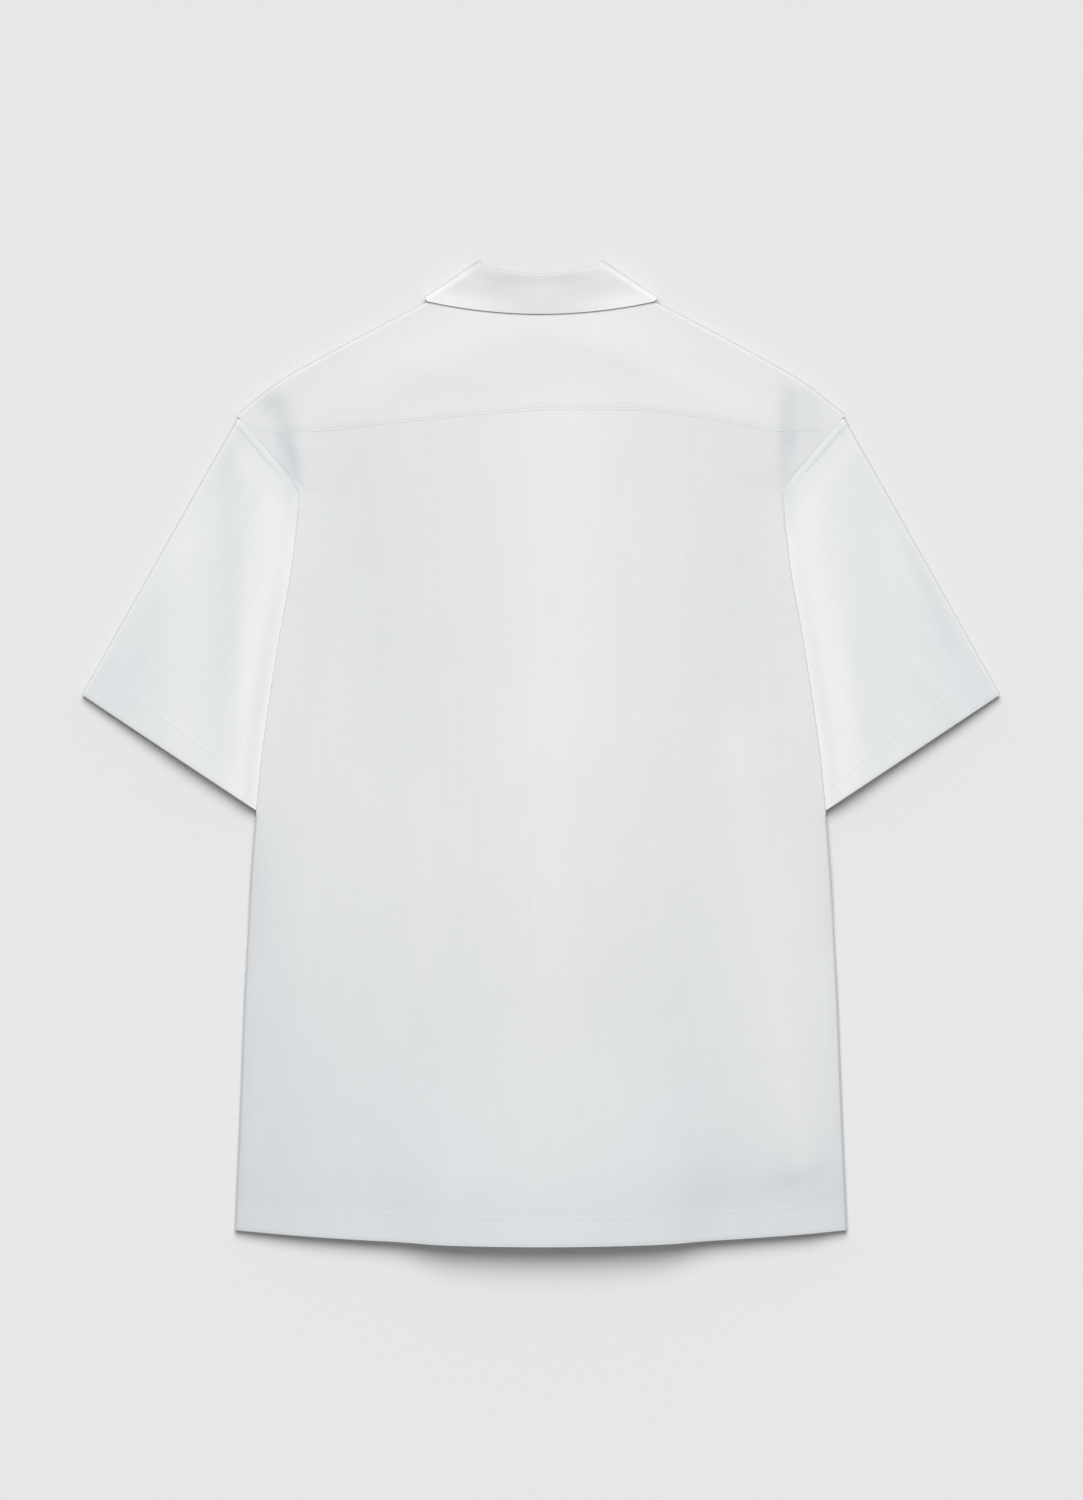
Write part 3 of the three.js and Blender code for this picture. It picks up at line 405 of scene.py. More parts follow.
def in_hem_wave(x, step):
    left, right = HEM_WAVE["left"], HEM_WAVE["right"]
    return ease(x, left - step, left + step) * (1 - ease(x, right - step, right + step))


def on_armhole(y_of):
    """Where a line across the shirt, with its y given by y_of(x), meets the armhole."""
    x = TIP[0]
    for _ in range(12):
        x = float(side_half(y_of(x)))
    return x


print("Hem width in mm:", 2 * HEM_HALF, "- back length in mm:", NECK_BACK_Y - hem_y(0))

# %% [markdown]
# ## The folds
#
# A fold is a soft ridge or trough along a line, which fades out past its ends. The large ones
# shape the solids too. The small ones are the creases of a shirt that was folded and pressed: they
# run mostly up and down, with no two of one length or depth.

# %% Folds of the back and yoke
BACK_FOLDS = table(
    "x1 y1 x2 y2 wide rise fade",
    (24, 225, 22, 20, 34, 1.8, 60), (12, -30, 8, -190, 22, 1.3, 60),
    (-150, 190, -112, 10, 34, -1.9, 70), (168, 190, 146, 40, 26, -1.7, 60),
    (-92, -58, -92, -170, 12, 1.3, 40), (156, -28, 203, -320, 13, 1.9, 60),
    (-212, -110, -206, -350, 18, -1.0, 60), (188, -338, 214, -330, 9, -0.7, 16),
)
LEFT_VALLEY = table(
    "x y wide rise",
    (-214, 284, 9, 0), (-210, 273, 9, -1.0), (-203, 262, 9, -1.4), (-199, 250, 8, -1.9),
    (-198, 239, 6.5, -2.4), (-195, 227, 6, -2.4), (-192, 215, 5.5, -2.1), (-190, 204, 4.5, -1.4),
    (-189, 192, 4, 0),
)
RIGHT_VALLEY = table(
    "x y wide rise",
    (194, 288, 9, 0), (193, 274, 8, -1.0), (192, 262, 6.5, -1.9), (192, 250, 6, -2.0),
    (192, 239, 6, -2.2), (191, 227, 6, -1.6), (190, 215, 5.5, -1.3), (189, 204, 5, -1.0),
    (190, 185, 4, -0.5), (194, 160, 4, 0),
)
SMALL_BACK_FOLDS = table(
    "x1 y1 x2 y2 wide rise fade",
    (-34, 205, -26, 90, 11, 0.5, 40), (66, 190, 74, 60, 12, -0.6, 40),
    (112, 150, 118, 20, 9, 0.45, 30), (-70, 60, -58, -60, 10, -0.5, 30),
    (-132, -60, -126, -200, 9, 0.5, 40), (-170, 60, -178, -90, 10, -0.6, 30),
    (40, -60, 52, -230, 12, -0.55, 40), (96, -110, 104, -260, 9, 0.5, 40),
    (-40, -200, -46, -330, 10, 0.5, 30), (182, 120, 192, -20, 8, 0.5, 30),
    (-100, 300, -60, 292, 12, 0.4, 20), (120, 296, 150, 284, 11, -0.45, 20),
    (20, 318, 60, 312, 14, 0.35, 20),
)
LEFT_SLEEVE_FOLDS = table(
    "x1 y1 x2 y2 wide rise fade",
    (241, 215, 243, 0, 9, -1.5, 40), (276, 165, 280, 20, 13, 1.0, 40),
    (300, 100, 318, 40, 9, -0.5, 20), (226, 130, 232, 40, 7, 0.5, 25),
)
RIGHT_SLEEVE_FOLDS = table(
    "x1 y1 x2 y2 wide rise fade",
    (276, 190, 312, 92, 8, -1.3, 30), (252, 180, 262, 10, 10, -0.8, 40),
    (232, 150, 236, 30, 7, 0.6, 25), (296, 60, 322, 30, 8, 0.5, 20),
)
SHAPE_HALF = 195  # the body's rise from its edges ends about this far in, at its middle


def folds_at(folds, x, y):
    total = np.zeros(np.broadcast(x, y).shape)
    for k in range(len(folds["x1"])):
        x1, y1, x2, y2 = (folds[name][k] for name in ("x1", "y1", "x2", "y2"))
        long = math.hypot(x2 - x1, y2 - y1)
        along = ((x - x1) * (x2 - x1) + (y - y1) * (y2 - y1)) / long
        off = ((x - x1) * (y2 - y1) - (y - y1) * (x2 - x1)) / long
        past = np.maximum(np.maximum(-along, along - long), 0)
        total = total + folds["rise"][k] * hump(off, 0, folds["wide"][k]) * hump(past, 0, folds["fade"][k])
    return total


def nearest_on(path, x, y):
    """For each point, its distance from a path of straight stretches, and the nearest place on it."""
    best, place = np.full(np.broadcast(x, y).shape, 1e6), np.zeros(np.broadcast(x, y).shape)
    for k in range(len(path["x"]) - 1):
        x1, y1, x2, y2 = path["x"][k], path["y"][k], path["x"][k + 1], path["y"][k + 1]
        share = ((x - x1) * (x2 - x1) + (y - y1) * (y2 - y1)) / ((x2 - x1) ** 2 + (y2 - y1) ** 2)
        share = np.clip(share, 0, 1)
        far = np.hypot(x - mix(x1, x2, share), y - mix(y1, y2, share))
        place = np.where(far < best, k + share, place)
        best = np.minimum(far, best)
    return best, place


def valley_at(path, x, y):
    """A soft trough along a path, with its own width and depth at each of the path's points."""
    far, place = nearest_on(path, x, y)
    points = np.arange(len(path["x"]))
    rise, wide = (np.interp(place, points, path[name]) for name in ("rise", "wide"))
    return rise * hump(far, 0, wide)


def armhole_valleys(x, y):
    """The two troughs where the body is pushed against the sleeves."""
    both = valley_at(LEFT_VALLEY, x, y) + valley_at(RIGHT_VALLEY, x, y)
    return both * ease(shoulder_y(x) - y, 0, 20)


def from_edge(x, y):
    """How far a point of the body is from its side edge and armhole."""
    return nearest_on({"x": SIDE["half"], "y": SIDE["y"]}, np.abs(x), y)[0]


def back_height(x, y, small=True):
    """Height of the outer face of the back and the yoke."""
    x, y = np.asarray(x, dtype=float), np.asarray(y, dtype=float)
    inside = from_edge(x, y)
    share = 1 - np.minimum(inside, SHAPE_HALF) / SHAPE_HALF
    edge = read(SIDE, "top", y)
    bell = hump(x, read(LOFT, "middle", y), read(LOFT, "spread", y))
    arch = read(LOFT, "rise", y) * bell
    up_from_hem = ease(y, hem_y(0.0), hem_y(0.0) + HEM_WAVE["reach"])
    raised = in_hem_wave(x, 1.5 * HEM_WAVE["step"] + HEM_WAVE["widen"] * up_from_hem)
    wave = HEM_WAVE["rise"] * raised * (1 - up_from_hem)
    below_fold = ease(shoulder_y(x) - y, 2, 62)
    flat = mix(edge, FOLD_TOP, ease(inside, 0, EDGE_REACH))
    folds = folds_at(BACK_FOLDS, x, y)
    if small:
        folds = folds + folds_at(SMALL_BACK_FOLDS, x, y)
    folds = folds * (1 - share**12) * ease(shoulder_y(x) - y, 3, 28)
    return flat + (SPREAD_RISE + arch + wave) * (1 - share**8) * below_fold + folds + armhole_valleys(x, y)


def shaded_notch(x, y):
    """1 in the notch between each shoulder and its sleeve, where the cloth dips and shade is painted on."""
    right = hump(x, 207, 15) * hump(y, 264, 20)
    left = hump(x, -208, 13) * hump(y, 270, 16)
    return np.minimum(1, right + 0.8 * left)


print("Height of the back's middle in mm:", round(float(back_height(0, -60)), 1))

# %% [markdown]
# ## Seams and hems in the cloth
#
# A hem is the cloth turned up twice, so it stands about half a millimetre proud, and its row of
# stitches pulls a shallow groove along its top. A topstitched seam is a low ridge with a groove
# beside it. Each is a function of the distance from the sewn edge.


# %% Relief of a hem and of a topstitched seam
HEM_STITCH = HEM_DEPTH - 1.6  # the row of stitches, from the hem's edge


def hem_relief(depth, rise=0.12):
    """depth is how far a place lies from the edge."""
    band = rise * (1 - ease(depth, HEM_DEPTH + 0.2, HEM_DEPTH + 2.4))
    return band - 0.07 * hump(depth, HEM_STITCH, 1.2) - 0.3 * hump(depth, 0, 1.2)


def seam_relief(depth, allowance=7.0, stitch=4.6, rise=0.12):
    band = rise * (1 - ease(depth, allowance - 1.4, allowance + 1.4)) * ease(depth, -0.2, 1.2)
    return band - 0.06 * hump(depth, stitch, 1.1)


def spread(start, stop, pitch):
    """Evenly spaced values from start to stop, about pitch apart."""
    return np.linspace(start, stop, max(2, int(round(abs(stop - start) / pitch)) + 1))


def spans(*parts):
    """Values from several stretches: a tuple is what spread takes, and a list is taken as it is."""
    return np.concatenate([spread(*part) if isinstance(part, tuple) else part for part in parts])


# %% [markdown]
# ## The back
#
# The back hangs from the yoke seam. Beside the sleeves it folds under itself, with the sleeve
# tucked below, and from there down it rolls over to the side seam. Its top edge goes a little way
# under the yoke, as the seam allowance does.

# %% Make the back
PANEL_PITCH, FINE_PITCH = 3.0, 1.6
SEAM_GAP = 0.3  # between the top edge of the back and the yoke's edge
ARMHOLE_SLANT = 0.77  # a step square to the armhole, as a share of the same step along X
ROLL_STEPS = 8
TONGUE = ((8.0, 1.9), (5.0, 1.7), (3.4, 1.2), (2.6, 0.3), (1.9, 0.0), (0.9, 0.0))  # in, and down


def rolled_edge(start, z, arc, turn, sign, count):
    """Points along an arc from (start, z): it starts level and turns down, or up where sign is -1."""
    angle = math.radians(turn)
    radius = arc / angle
    turned = angle * np.linspace(0, 1, count + 1)[1:]
    return start + radius * np.sin(turned), z - sign * radius * (1 - np.cos(turned))


def edge_at(side_y, face):
    """Where a body panel starts to roll over, and the arc and turn of its roll."""
    start = float(side_half(side_y) - read(SIDE, "inset", side_y))
    return start, *(read(SIDE, face + name, side_y) for name in ("_arc", "_turn"))


def back_painted_shade(x, y):
    """The back's share of painted shade: more low down, in its folds' troughs and by its edges."""
    depth = y - hem_y(x)
    lower = ease(-y, -60, 400)
    left_low = ease(-x, 130, 230) * lower
    crest = hump(x, read(LOFT, "middle", y), 62) * (1 - 0.5 * ease(-y, 0, 300))
    near_hem = 1 - ease(depth, HEM_DEPTH - 3, HEM_DEPTH + 1)
    above_hem = 1 - ease(depth, HEM_DEPTH - 2, HEM_DEPTH + 50)
    right_low = ease(x, 110, 190) * ease(-y, 20, 140) * (1 - ease(-y, 250, 340))
    at_side = np.exp(-from_edge(x, y) / 7) * ease(-y, 10, 110)
    beside_valley = hump(np.abs(x), 172, 20) * hump(y, 230, 24)
    above_right_hem = hump(x, 150, 70) * hump(y, -336, 20)
    crumple = hump(x, 206, 17) * hump(y, -336, 15)
    # Painted shade: darker low down, in troughs, by the sides, in the notches and above the hem; painted
    # light: lighter on the crest, the ridges, the hem band and the lower right.
    painted_shade = 0.18 + 0.29 * lower + 0.13 * left_low - 0.045 * folds_at(BACK_FOLDS, x, y) - 0.15 * crest
    painted_shade = painted_shade - 0.06 * near_hem + 0.08 * above_hem - 0.14 * right_low + 0.3 * at_side
    painted_shade = painted_shade + 0.2 * shaded_notch(x, y) - 0.19 * armhole_valleys(x, y)
    return painted_shade - 0.14 * beside_valley + 0.12 * above_right_hem + 0.16 * crumple


def make_back():
    top = float(YOKE_SEAM["y"][0]) - SEAM_GAP
    hem_top = HEM_SIDE_Y + HEM_DEPTH
    side_ys = spans(
        (top, 206, PANEL_PITCH),
        (204, 182, 1.4),
        (180, hem_top + 6, PANEL_PITCH),
        (hem_top + 4, hem_top - 6, 0.7),
        (hem_top - 8, HEM_SIDE_Y + 4, PANEL_PITCH),
        [HEM_SIDE_Y + near for near in (2.6, 1.6, 0.8, 0.0)],
    )
    rows = []
    for side_y in side_ys:
        start, arc, turn = edge_at(side_y, "back")
        down = (top - side_y) / (top - HEM_SIDE_Y)
        middle_x = (-start + 27, start - 27, PANEL_PITCH)
        x = spans((-start, -start + 24, FINE_PITCH), middle_x, (start - 24, start, FINE_PITCH))
        seam = yoke_seam_y(x) - SEAM_GAP - top
        drop = HEM_WAVE["drop"] * in_hem_wave(x, HEM_WAVE["step"] / 2) * ease(down, 0.93, 1)
        y = side_y + seam * (1 - down) ** 3 + (hem_y(x) - HEM_SIDE_Y) * down**2 - drop
        armhole = seam_relief((side_half(y) - np.abs(x)) * ARMHOLE_SLANT) * ease(y, TUCK_Y - 4, TUCK_Y + 22)
        z = back_height(x, y) + hem_relief(y - hem_y(x)) + armhole
        edges = []
        for side, near in ((-1, 0), (1, -1)):
            arc_x, arc_z = rolled_edge(start, z[near], arc, turn, 1, ROLL_STEPS)
            edges.append(np.stack([side * arc_x, np.full(ROLL_STEPS, y[near]), arc_z], axis=-1))
        rows.append((edges[0][::-1], np.stack([x, y, z], axis=-1), edges[1]))
    there = np.linspace(0, 1, max(len(middle) for _, middle, _ in rows))
    even = []
    for left, middle, right in rows:
        here = np.linspace(0, 1, len(middle))
        again = np.stack([np.interp(there, here, middle[:, k]) for k in range(3)], axis=-1)
        even.append(np.concatenate([left, again, right]))
    under = []
    for reach, drop in TONGUE:
        tongue = even[0].copy()
        tongue[:, 1] += reach
        tongue[:, 0] *= 1 - 0.004 * reach
        tongue[:, 2] = back_height(tongue[:, 0], tongue[:, 1]) - drop
        under.append(tongue)
    grid = np.array(under + even)
    return cloth_panel("back_panel", grid, body_poplin, painted_shade=back_painted_shade(grid[..., 0], grid[..., 1]))


back_panel = make_back()
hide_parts("back")

# %% [markdown]
# ## The yoke
#
# The yoke is a doubled piece across the shoulders. Its lower edge is turned in and topstitched
# over the back, in a shallow arch, and it wraps over both shoulders to meet the fronts.

# %% Make the yoke
COLLAR_LIFT = 1.5  # room for the lapels and the collar's leaves, which lie under the fronts
BUTTON_THICK, BUTTON_GAP = 2.4, 0.3  # the fronts lie over the buttons, with a gap
YOKE_PROUD = 0.08  # how far the yoke's lower edge stands over the back


def front_lift(out, y, upper):
    """How far the underside of a front or of the yoke is lifted off the table."""
    buttons = (BUTTON_THICK + BUTTON_GAP) * ease(y, -335, -275) * (1 - ease(y, 246, 300))
    placket = buttons * (1 - ease(out, 17, 62))
    collar = COLLAR_LIFT * ease(y, 212, 240) * (1 - ease(out, 108, 130))
    step = 2.1 * (1 - ease(out, 16, 44)) * (1 - ease(y, 263, 290)) if upper else 0.0
    return np.maximum(placket, collar) + step


def yoke_place(kind, value, side, out):
    """y and z of the yoke: up from its seam, round its turned edge, and back under it."""
    lift = front_lift(out, shoulder_y(out) - YOKE_TURN / 2, False)
    radius = (FOLD_TOP - lift) / 2
    fold_y = shoulder_y(out) - radius
    if kind == "up":
        seam = yoke_seam_y(side * out) - 0.5
        y = mix(seam, np.where(out < NECK_HALF, neck_y(out), fold_y), value)
        relief = seam_relief(y - seam + 0.4, allowance=8.5, stitch=2.4, rise=0.08) + YOKE_PROUD
        relief = relief * (1 - ease(y - seam, 8, 22))
        armhole = seam_relief((side_half(y) - out) * ARMHOLE_SLANT)
        return y, back_height(side * out, y) + relief + armhole * (1 - ease(y, 255, 262))
    angle = math.radians(value if kind == "turn" else 180)
    under = (value if kind == "under" else 0) * (YOKE_TURN - radius)
    return fold_y + radius * math.sin(angle) - under, lift + radius + radius * math.cos(angle)


def make_yoke():
    ups = spans([0, 0.006, 0.014, 0.024], (0.035, 0.16, 0.0125), (0.18, 1, 0.026))
    parts = [("up", up) for up in ups]
    parts += [("turn", turn) for turn in spread(12, 180, 12)]
    parts += [("under", share) for share in spread(0.12, 1, 0.12)]
    neck_columns = spread(0, NECK_HALF, PANEL_PITCH)
    shares = spread(0, 1, 0.018)[1:]
    rows = []
    for kind, value in parts:
        halves = []
        for side in SIDE_NAMES:
            edge = on_armhole(lambda out: yoke_place(kind, value, side, np.array(out, dtype=float))[0]) - 0.15
            out = np.concatenate([neck_columns, mix(NECK_HALF, edge, shares)])
            halves.append(np.stack([side * out, *yoke_place(kind, value, side, out)], axis=-1))
        rows.append(np.concatenate([halves[0][:0:-1], halves[1]]))
    grid = np.array(rows)
    columns_out = np.abs(grid[:-1, :, 0])
    nearest = np.minimum(columns_out[:, :-1], columns_out[:, 1:])
    keep = (np.arange(len(parts) - 1)[:, None] < len(ups) - 1) | (nearest > NECK_HALF - 1)
    x, y = grid[..., 0], grid[..., 1]
    # Painted shade of the yoke: darker in its troughs, the armhole valleys and the shoulder notches, lighter
    # on its ridges
    painted_shade = 0.16 - 0.13 * folds_at(BACK_FOLDS, x, y) + 0.6 * shaded_notch(x, y)
    painted_shade = painted_shade - 0.36 * armhole_valleys(x, y)
    return cloth_panel("yoke_panel", grid, yoke_poplin, facing=-1, keep=keep, painted_shade=painted_shade)


yoke_panel = make_yoke()
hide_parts("yoke")

# %% [markdown]
# ## The fronts
#
# The fronts lie under the back, face down. The left one laps over the right one at the centre, so
# from below it is the outer one, and the buttons show through it. Each front's top follows the
# yoke, its inner edge the lapel's fold, and its side rolls up to the side seam.

# %% Make the fronts
PLACKET_HALF = 15
INNER_EDGE = table("y out", (HEM_SIDE_Y - HEM_SAG, -PLACKET_HALF), (240, -15), (338, 54), (340, NECK_HALF))
FRONT_FOLDS = table(
    "x1 y1 x2 y2 wide rise fade",
    (-150, 150, -120, -20, 26, 1.1, 50), (-86, 40, -80, -160, 16, 0.8, 50),
    (-190, -60, -170, -260, 18, 1.0, 50), (120, 180, 150, 10, 24, 1.2, 50),
    (70, -40, 84, -230, 15, 0.7, 40), (182, -80, 168, -280, 18, 0.9, 50),
    (-110, -210, -128, -330, 12, 0.6, 30), (120, -200, 112, -330, 13, 0.8, 30),
)


def make_front(side, name):
    def top_y(out):
        return shoulder_y(out) - YOKE_TURN - 0.6

    top_out = on_armhole(top_y)
    side_top = float(top_y(top_out))
    long = side_top - HEM_SIDE_Y
    centre_top = float(INNER_EDGE["y"][-1])
    centre_low = hem_y(PLACKET_HALF)
    depths = spans([0, 0.8, 1.8, 3.2], (6, 17, 3), (17.6, 25, 0.8))
    breaks = [(y - centre_low) / (centre_top - centre_low) for y in (240, 338)]
    shares = spans(depths / long, (28 / long, 1, 0.0062), breaks)
    u = spans((0, 0.03, 0.006), (0.04, 1, 0.0145))
    rows = []
    for v in np.unique(np.round(shares, 6)):
        centre_y = mix(centre_low, centre_top, v)
        start, arc, turn = edge_at(mix(HEM_SIDE_Y, side_top, v), "front")
        inside = float(np.interp(centre_y, INNER_EDGE["y"], INNER_EDGE["out"]))
        out = mix(inside, start, u)
        y = mix(hem_y(out), top_y(mix(NECK_HALF, top_out, u)) + 0.3, v)
        groove = 0.22 * hump(y - hem_y(out), HEM_STITCH, 0.9)
        folds = np.maximum(folds_at(FRONT_FOLDS, side * out, y), 0)
        clear = ease(out, 40, 80) * ease(start - out, 18, 60) * (1 - ease(y, 190, 235)) * ease(y, -362, -330)
        z = front_lift(out, y, side > 0) + folds * clear + groove
        arc_x, arc_z = rolled_edge(start, z[-1], arc, turn, -1, 10)
        edge = np.stack([side * arc_x, np.full(10, y[-1]), arc_z], axis=-1)
        rows.append(np.concatenate([np.stack([side * out, y, z], axis=-1), edge]))
    for step in ((0, 0.9, 1.0), (0, 3.6, 1.2)):
        rows.append(rows[-1] + step)
    # The fronts take an even quarter share of painted shade
    return cloth_panel(name, np.array(rows), body_poplin, facing=side, painted_shade=0.25)


for side, which in SIDE_NAMES.items():
    front = make_front(side, f"front_{which}_panel")
    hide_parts(f"front_{which}")

# %% [markdown]
# ## The sleeves
#
# A sleeve is a flat tube. Its top folds at the shoulder line, its underarm is tucked between the
# back and the front, and it puffs up a little to its open cuff.

# %% Make the sleeves
SLEEVE = table("t fold puff", (0, 8.4, 0.4), (0.25, 7.4, 3.6), (0.6, 6.6, 4.8), (1, 6.0, 5.0))
PUFF = table("q share", (0, 0), (0.22, 0.5), (0.48, 0.78), (0.72, 1), (1, 0.9))
SLEEVE_AT_BODY = table(
    "y top low",
    (262, 8.4, 0), (218, 7.5, 0), (205, 7.2, 1.5), (199, 6.9, 1.5), (184, 6.9, 1.5),
    (165, 7.3, 1.5), (140, 7.7, 1.5), (35, 7.7, 1.5), (5, 8.1, 1.5), (-80, 8.1, 1.5),
)
SLEEVE_LENGTH = 235  # along its upper fold
SLEEVE_CREST = 15  # how far from the body's edge the sleeve reaches its full height
SEAM_PLACE = -0.1  # where the sleeve's surface starts, from the armhole line
SEAM_TUCK = 1.15  # how far the sleeve head's allowance lies under the body


def sleeve_place(t, q):
    """A place on the sleeve from above: t from armhole to cuff, q from the fold to the underarm."""
    turn_in = 0.4
    if q < turn_in:
        head_y = mix(TIP[1], TUCK_Y, q / turn_in)
        head_x = side_half(head_y) + SEAM_PLACE
    else:
        s = (q - turn_in) / (1 - turn_in)
        head_x = mix(side_half(TUCK_Y) + SEAM_PLACE, UNDERARM[0], s) - 9 * math.sin(math.pi * s)
        head_y = mix(TUCK_Y, UNDERARM[1], s)
    cuff_x, cuff_y = mix(CUFF_TOP[0], CUFF_UNDER[0], q), mix(CUFF_TOP[1], CUFF_UNDER[1], q)
    return mix(head_x, cuff_x, t), mix(head_y, cuff_y, t)


@functools.lru_cache(maxsize=None)
def shown_share(t):
    """The share of the sleeve's width, at t, that shows beside the body."""
    low, high = 0.0, 1.0
    for _ in range(24):
        q = (low + high) / 2
        x, y = sleeve_place(t, q)
        shows = y > TUCK_Y if t <= 0 else x > side_half(y)
        low, high = (q, high) if shows else (low, q)
    return low


def square_to(start, end):
    long = math.hypot(end[0] - start[0], end[1] - start[1])
    return (start[1] - end[1]) / long, (end[0] - start[0]) / long


def crease_at(side, x, y):
    return float(folds_at(LEFT_SLEEVE_FOLDS if side < 0 else RIGHT_SLEEVE_FOLDS, x, y))


def valley_by_sleeve(side, x, y):
    return float(armhole_valleys(side * x, y))


def turned_under(t):
    """How far the sleeve head's allowance has dipped under the body, where t is below 0."""
    return SEAM_TUCK * ease(-t, 0, 0.01)


def sleeve_top(side, t, q):
    """A point on the sleeve's upper face, on the positive side of the shirt."""
    x, y = sleeve_place(t, q)
    puff = read(SLEEVE, "puff", t) * read(PUFF, "share", q)
    crease = crease_at(side, x, y) * ease(q, 0, 0.12)
    from_seam = t * SLEEVE_LENGTH
    relief = hem_relief(SLEEVE_LENGTH - from_seam)
    relief += 0.4 * ease(from_seam, 0, 1.5) * (1 - ease(from_seam, 5, 6.6)) * (1 - ease(q, 0.2, 0.34))
    raised = mix(read(SLEEVE, "fold", t), 5.5, q) + puff + crease
    clear = ease(x - side_half(y), 0, SLEEVE_CREST)
    z = mix(read(SLEEVE_AT_BODY, "top", y), raised, clear) + relief * max(clear, float(q < 0.4))
    return x, y, z + valley_by_sleeve(side, x, y) - turned_under(t)


def sleeve_share(t, column):
    """The share of the sleeve's width: column goes to 1 over what shows, and to 2 under the body."""
    near, far = sleeve_place(t, 0), sleeve_place(t, 1)
    top_way = square_to(TIP, CUFF_TOP)
    wide = math.hypot(far[0] - near[0], far[1] - near[1])
    square = abs((far[0] - near[0]) * top_way[0] + (far[1] - near[1]) * top_way[1]) / wide
    shown = shown_share(t)
    if column <= 1:
        return mix(read(SLEEVE, "fold", t) / 2 / (wide * square), shown, column)
    stack = read(SLEEVE_AT_BODY, "top", far[1]) - read(SLEEVE_AT_BODY, "low", far[1])
    return mix(shown, 1 - stack / 2 / wide, column - 1)


def fold_round(centre, way, high, lowest, turns):
    """A half turn from the upper face to the lower one, bulging along way."""
    radius, middle = (high - lowest) / 2, (high + lowest) / 2
    bulge = [radius * math.sin(a) for a in turns]
    rise = [middle + radius * math.cos(a) for a in turns]
    return [(centre[0] + way[0] * b, centre[1] + way[1] * b, z) for b, z in zip(bulge, rise)]


def make_sleeve(side, name, material):
    upper_columns = spans((0, 0.84, 0.024), (0.856, 1, 0.012), (1.06, 2, 0.06))
    lower_columns = spans((2, 1.1, 0.1), (1, 0.84, 0.02), (0.8, 0, 0.04))
    hem = 1 - HEM_DEPTH / SLEEVE_LENGTH
    along = spans(
        [-0.016, -0.010, -0.004],
        (0, 0.04, 0.005),
        (0.05, hem - 0.02, 0.0125),
        (hem - 0.016, hem + 0.03, 0.0035),
        (hem + 0.04, 0.984, 0.0125),
        [0.99, 0.994, 0.997, 1.0],
    )
    half_turn = np.radians(spread(0, 180, 15))[1:-1]
    rows, painted_shade_rows = [], []
    for t in along:
        top, low, painted_shade_share = [], [], []
        for column in upper_columns:
            q = sleeve_share(t, column)
            x, y, z = sleeve_top(side, t, q)
            top.append((x, y, z))
            # Painted shade of the sleeve: darker towards the cuff along the upper fold, in troughs and in the
            # armhole valley; painted light in a band beside the body and on ridges. Fold and underside take
            # an even share.
            corner = ease(t, 0.35, 1) * (1 - ease(q, 0.05, 0.5))
            crest = (1 - ease(x - side_half(y), 16, 42)) * ease(t, 0.02, 0.12)
            painted_shade = 0.44 - 0.12 * crease_at(side, x, y) + 0.34 * corner - 0.36 * crest
            painted_shade_share.append(painted_shade - 0.17 * valley_by_sleeve(side, x, y))
        for column in lower_columns:
            x, y = sleeve_place(t, sleeve_share(t, column))
            low_z = read(SLEEVE_AT_BODY, "low", y) * (1 - ease(x - side_half(y), 4, 18))
            low.append((x, y, low_z + turned_under(t)))
        under = fold_round(top[-1], square_to(CUFF_UNDER, UNDERARM), top[-1][2], low[0][2], half_turn)
        over = fold_round(top[0], square_to(TIP, CUFF_TOP), top[0][2], low[-1][2], half_turn[::-1])
        rows.append(top + under + low + over)
        painted_shade_rows.append(painted_shade_share + [0.4] * len(under + low + over))
    grid = np.array(rows) * (side, 1, 1)
    return cloth_panel(name, grid, material, facing=-side, ring=True, painted_shade=np.array(painted_shade_rows))


for (side, which), material in zip(SIDE_NAMES.items(), (left_poplin, right_poplin)):
    tube = make_sleeve(side, f"sleeve_{which}_tube", material)
    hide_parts(f"sleeve_{which}")

# %% [markdown]
# ## The collar
#
# The collar is one piece, cut double and fused. It stands up from the neck seam, rolls over and
# falls on the yoke. At the shoulders it turns under, and its leaves end on the fronts.

# %% Make the collar
NECK_GAP = 1.6  # between the collar's inner leaf and the neck seam
ROLL_HEIGHT = table("a z", (0, 13.2), (0.6, 13.8), (1, 12.8))
ROLL = {"back_y": 371.5, "rise": 6, "reach": 43.8, "radius": 2.2}
FALL = {"edge_y": 339.8, "rise": 10.2, "reach": 88.1, "turn_top": 9.9}
COLLAR_TURN = (0.555, 0.832)  # the way it bulges where it turns under at the shoulder
BREAK_LOW, BREAK_HIGH = np.array([-15.0, 240.0]), np.array([54.0, 338.0])
LAPEL_TIP, LEAF_TIP = np.array([79.0, 274.0]), np.array([104.0, 300.0])
GORGE_SHARE = 0.42  # where the collar leaves the lapel, along the lapel's upper edge
SHELL = 1.2  # the thickness of one of the collar's two leaves


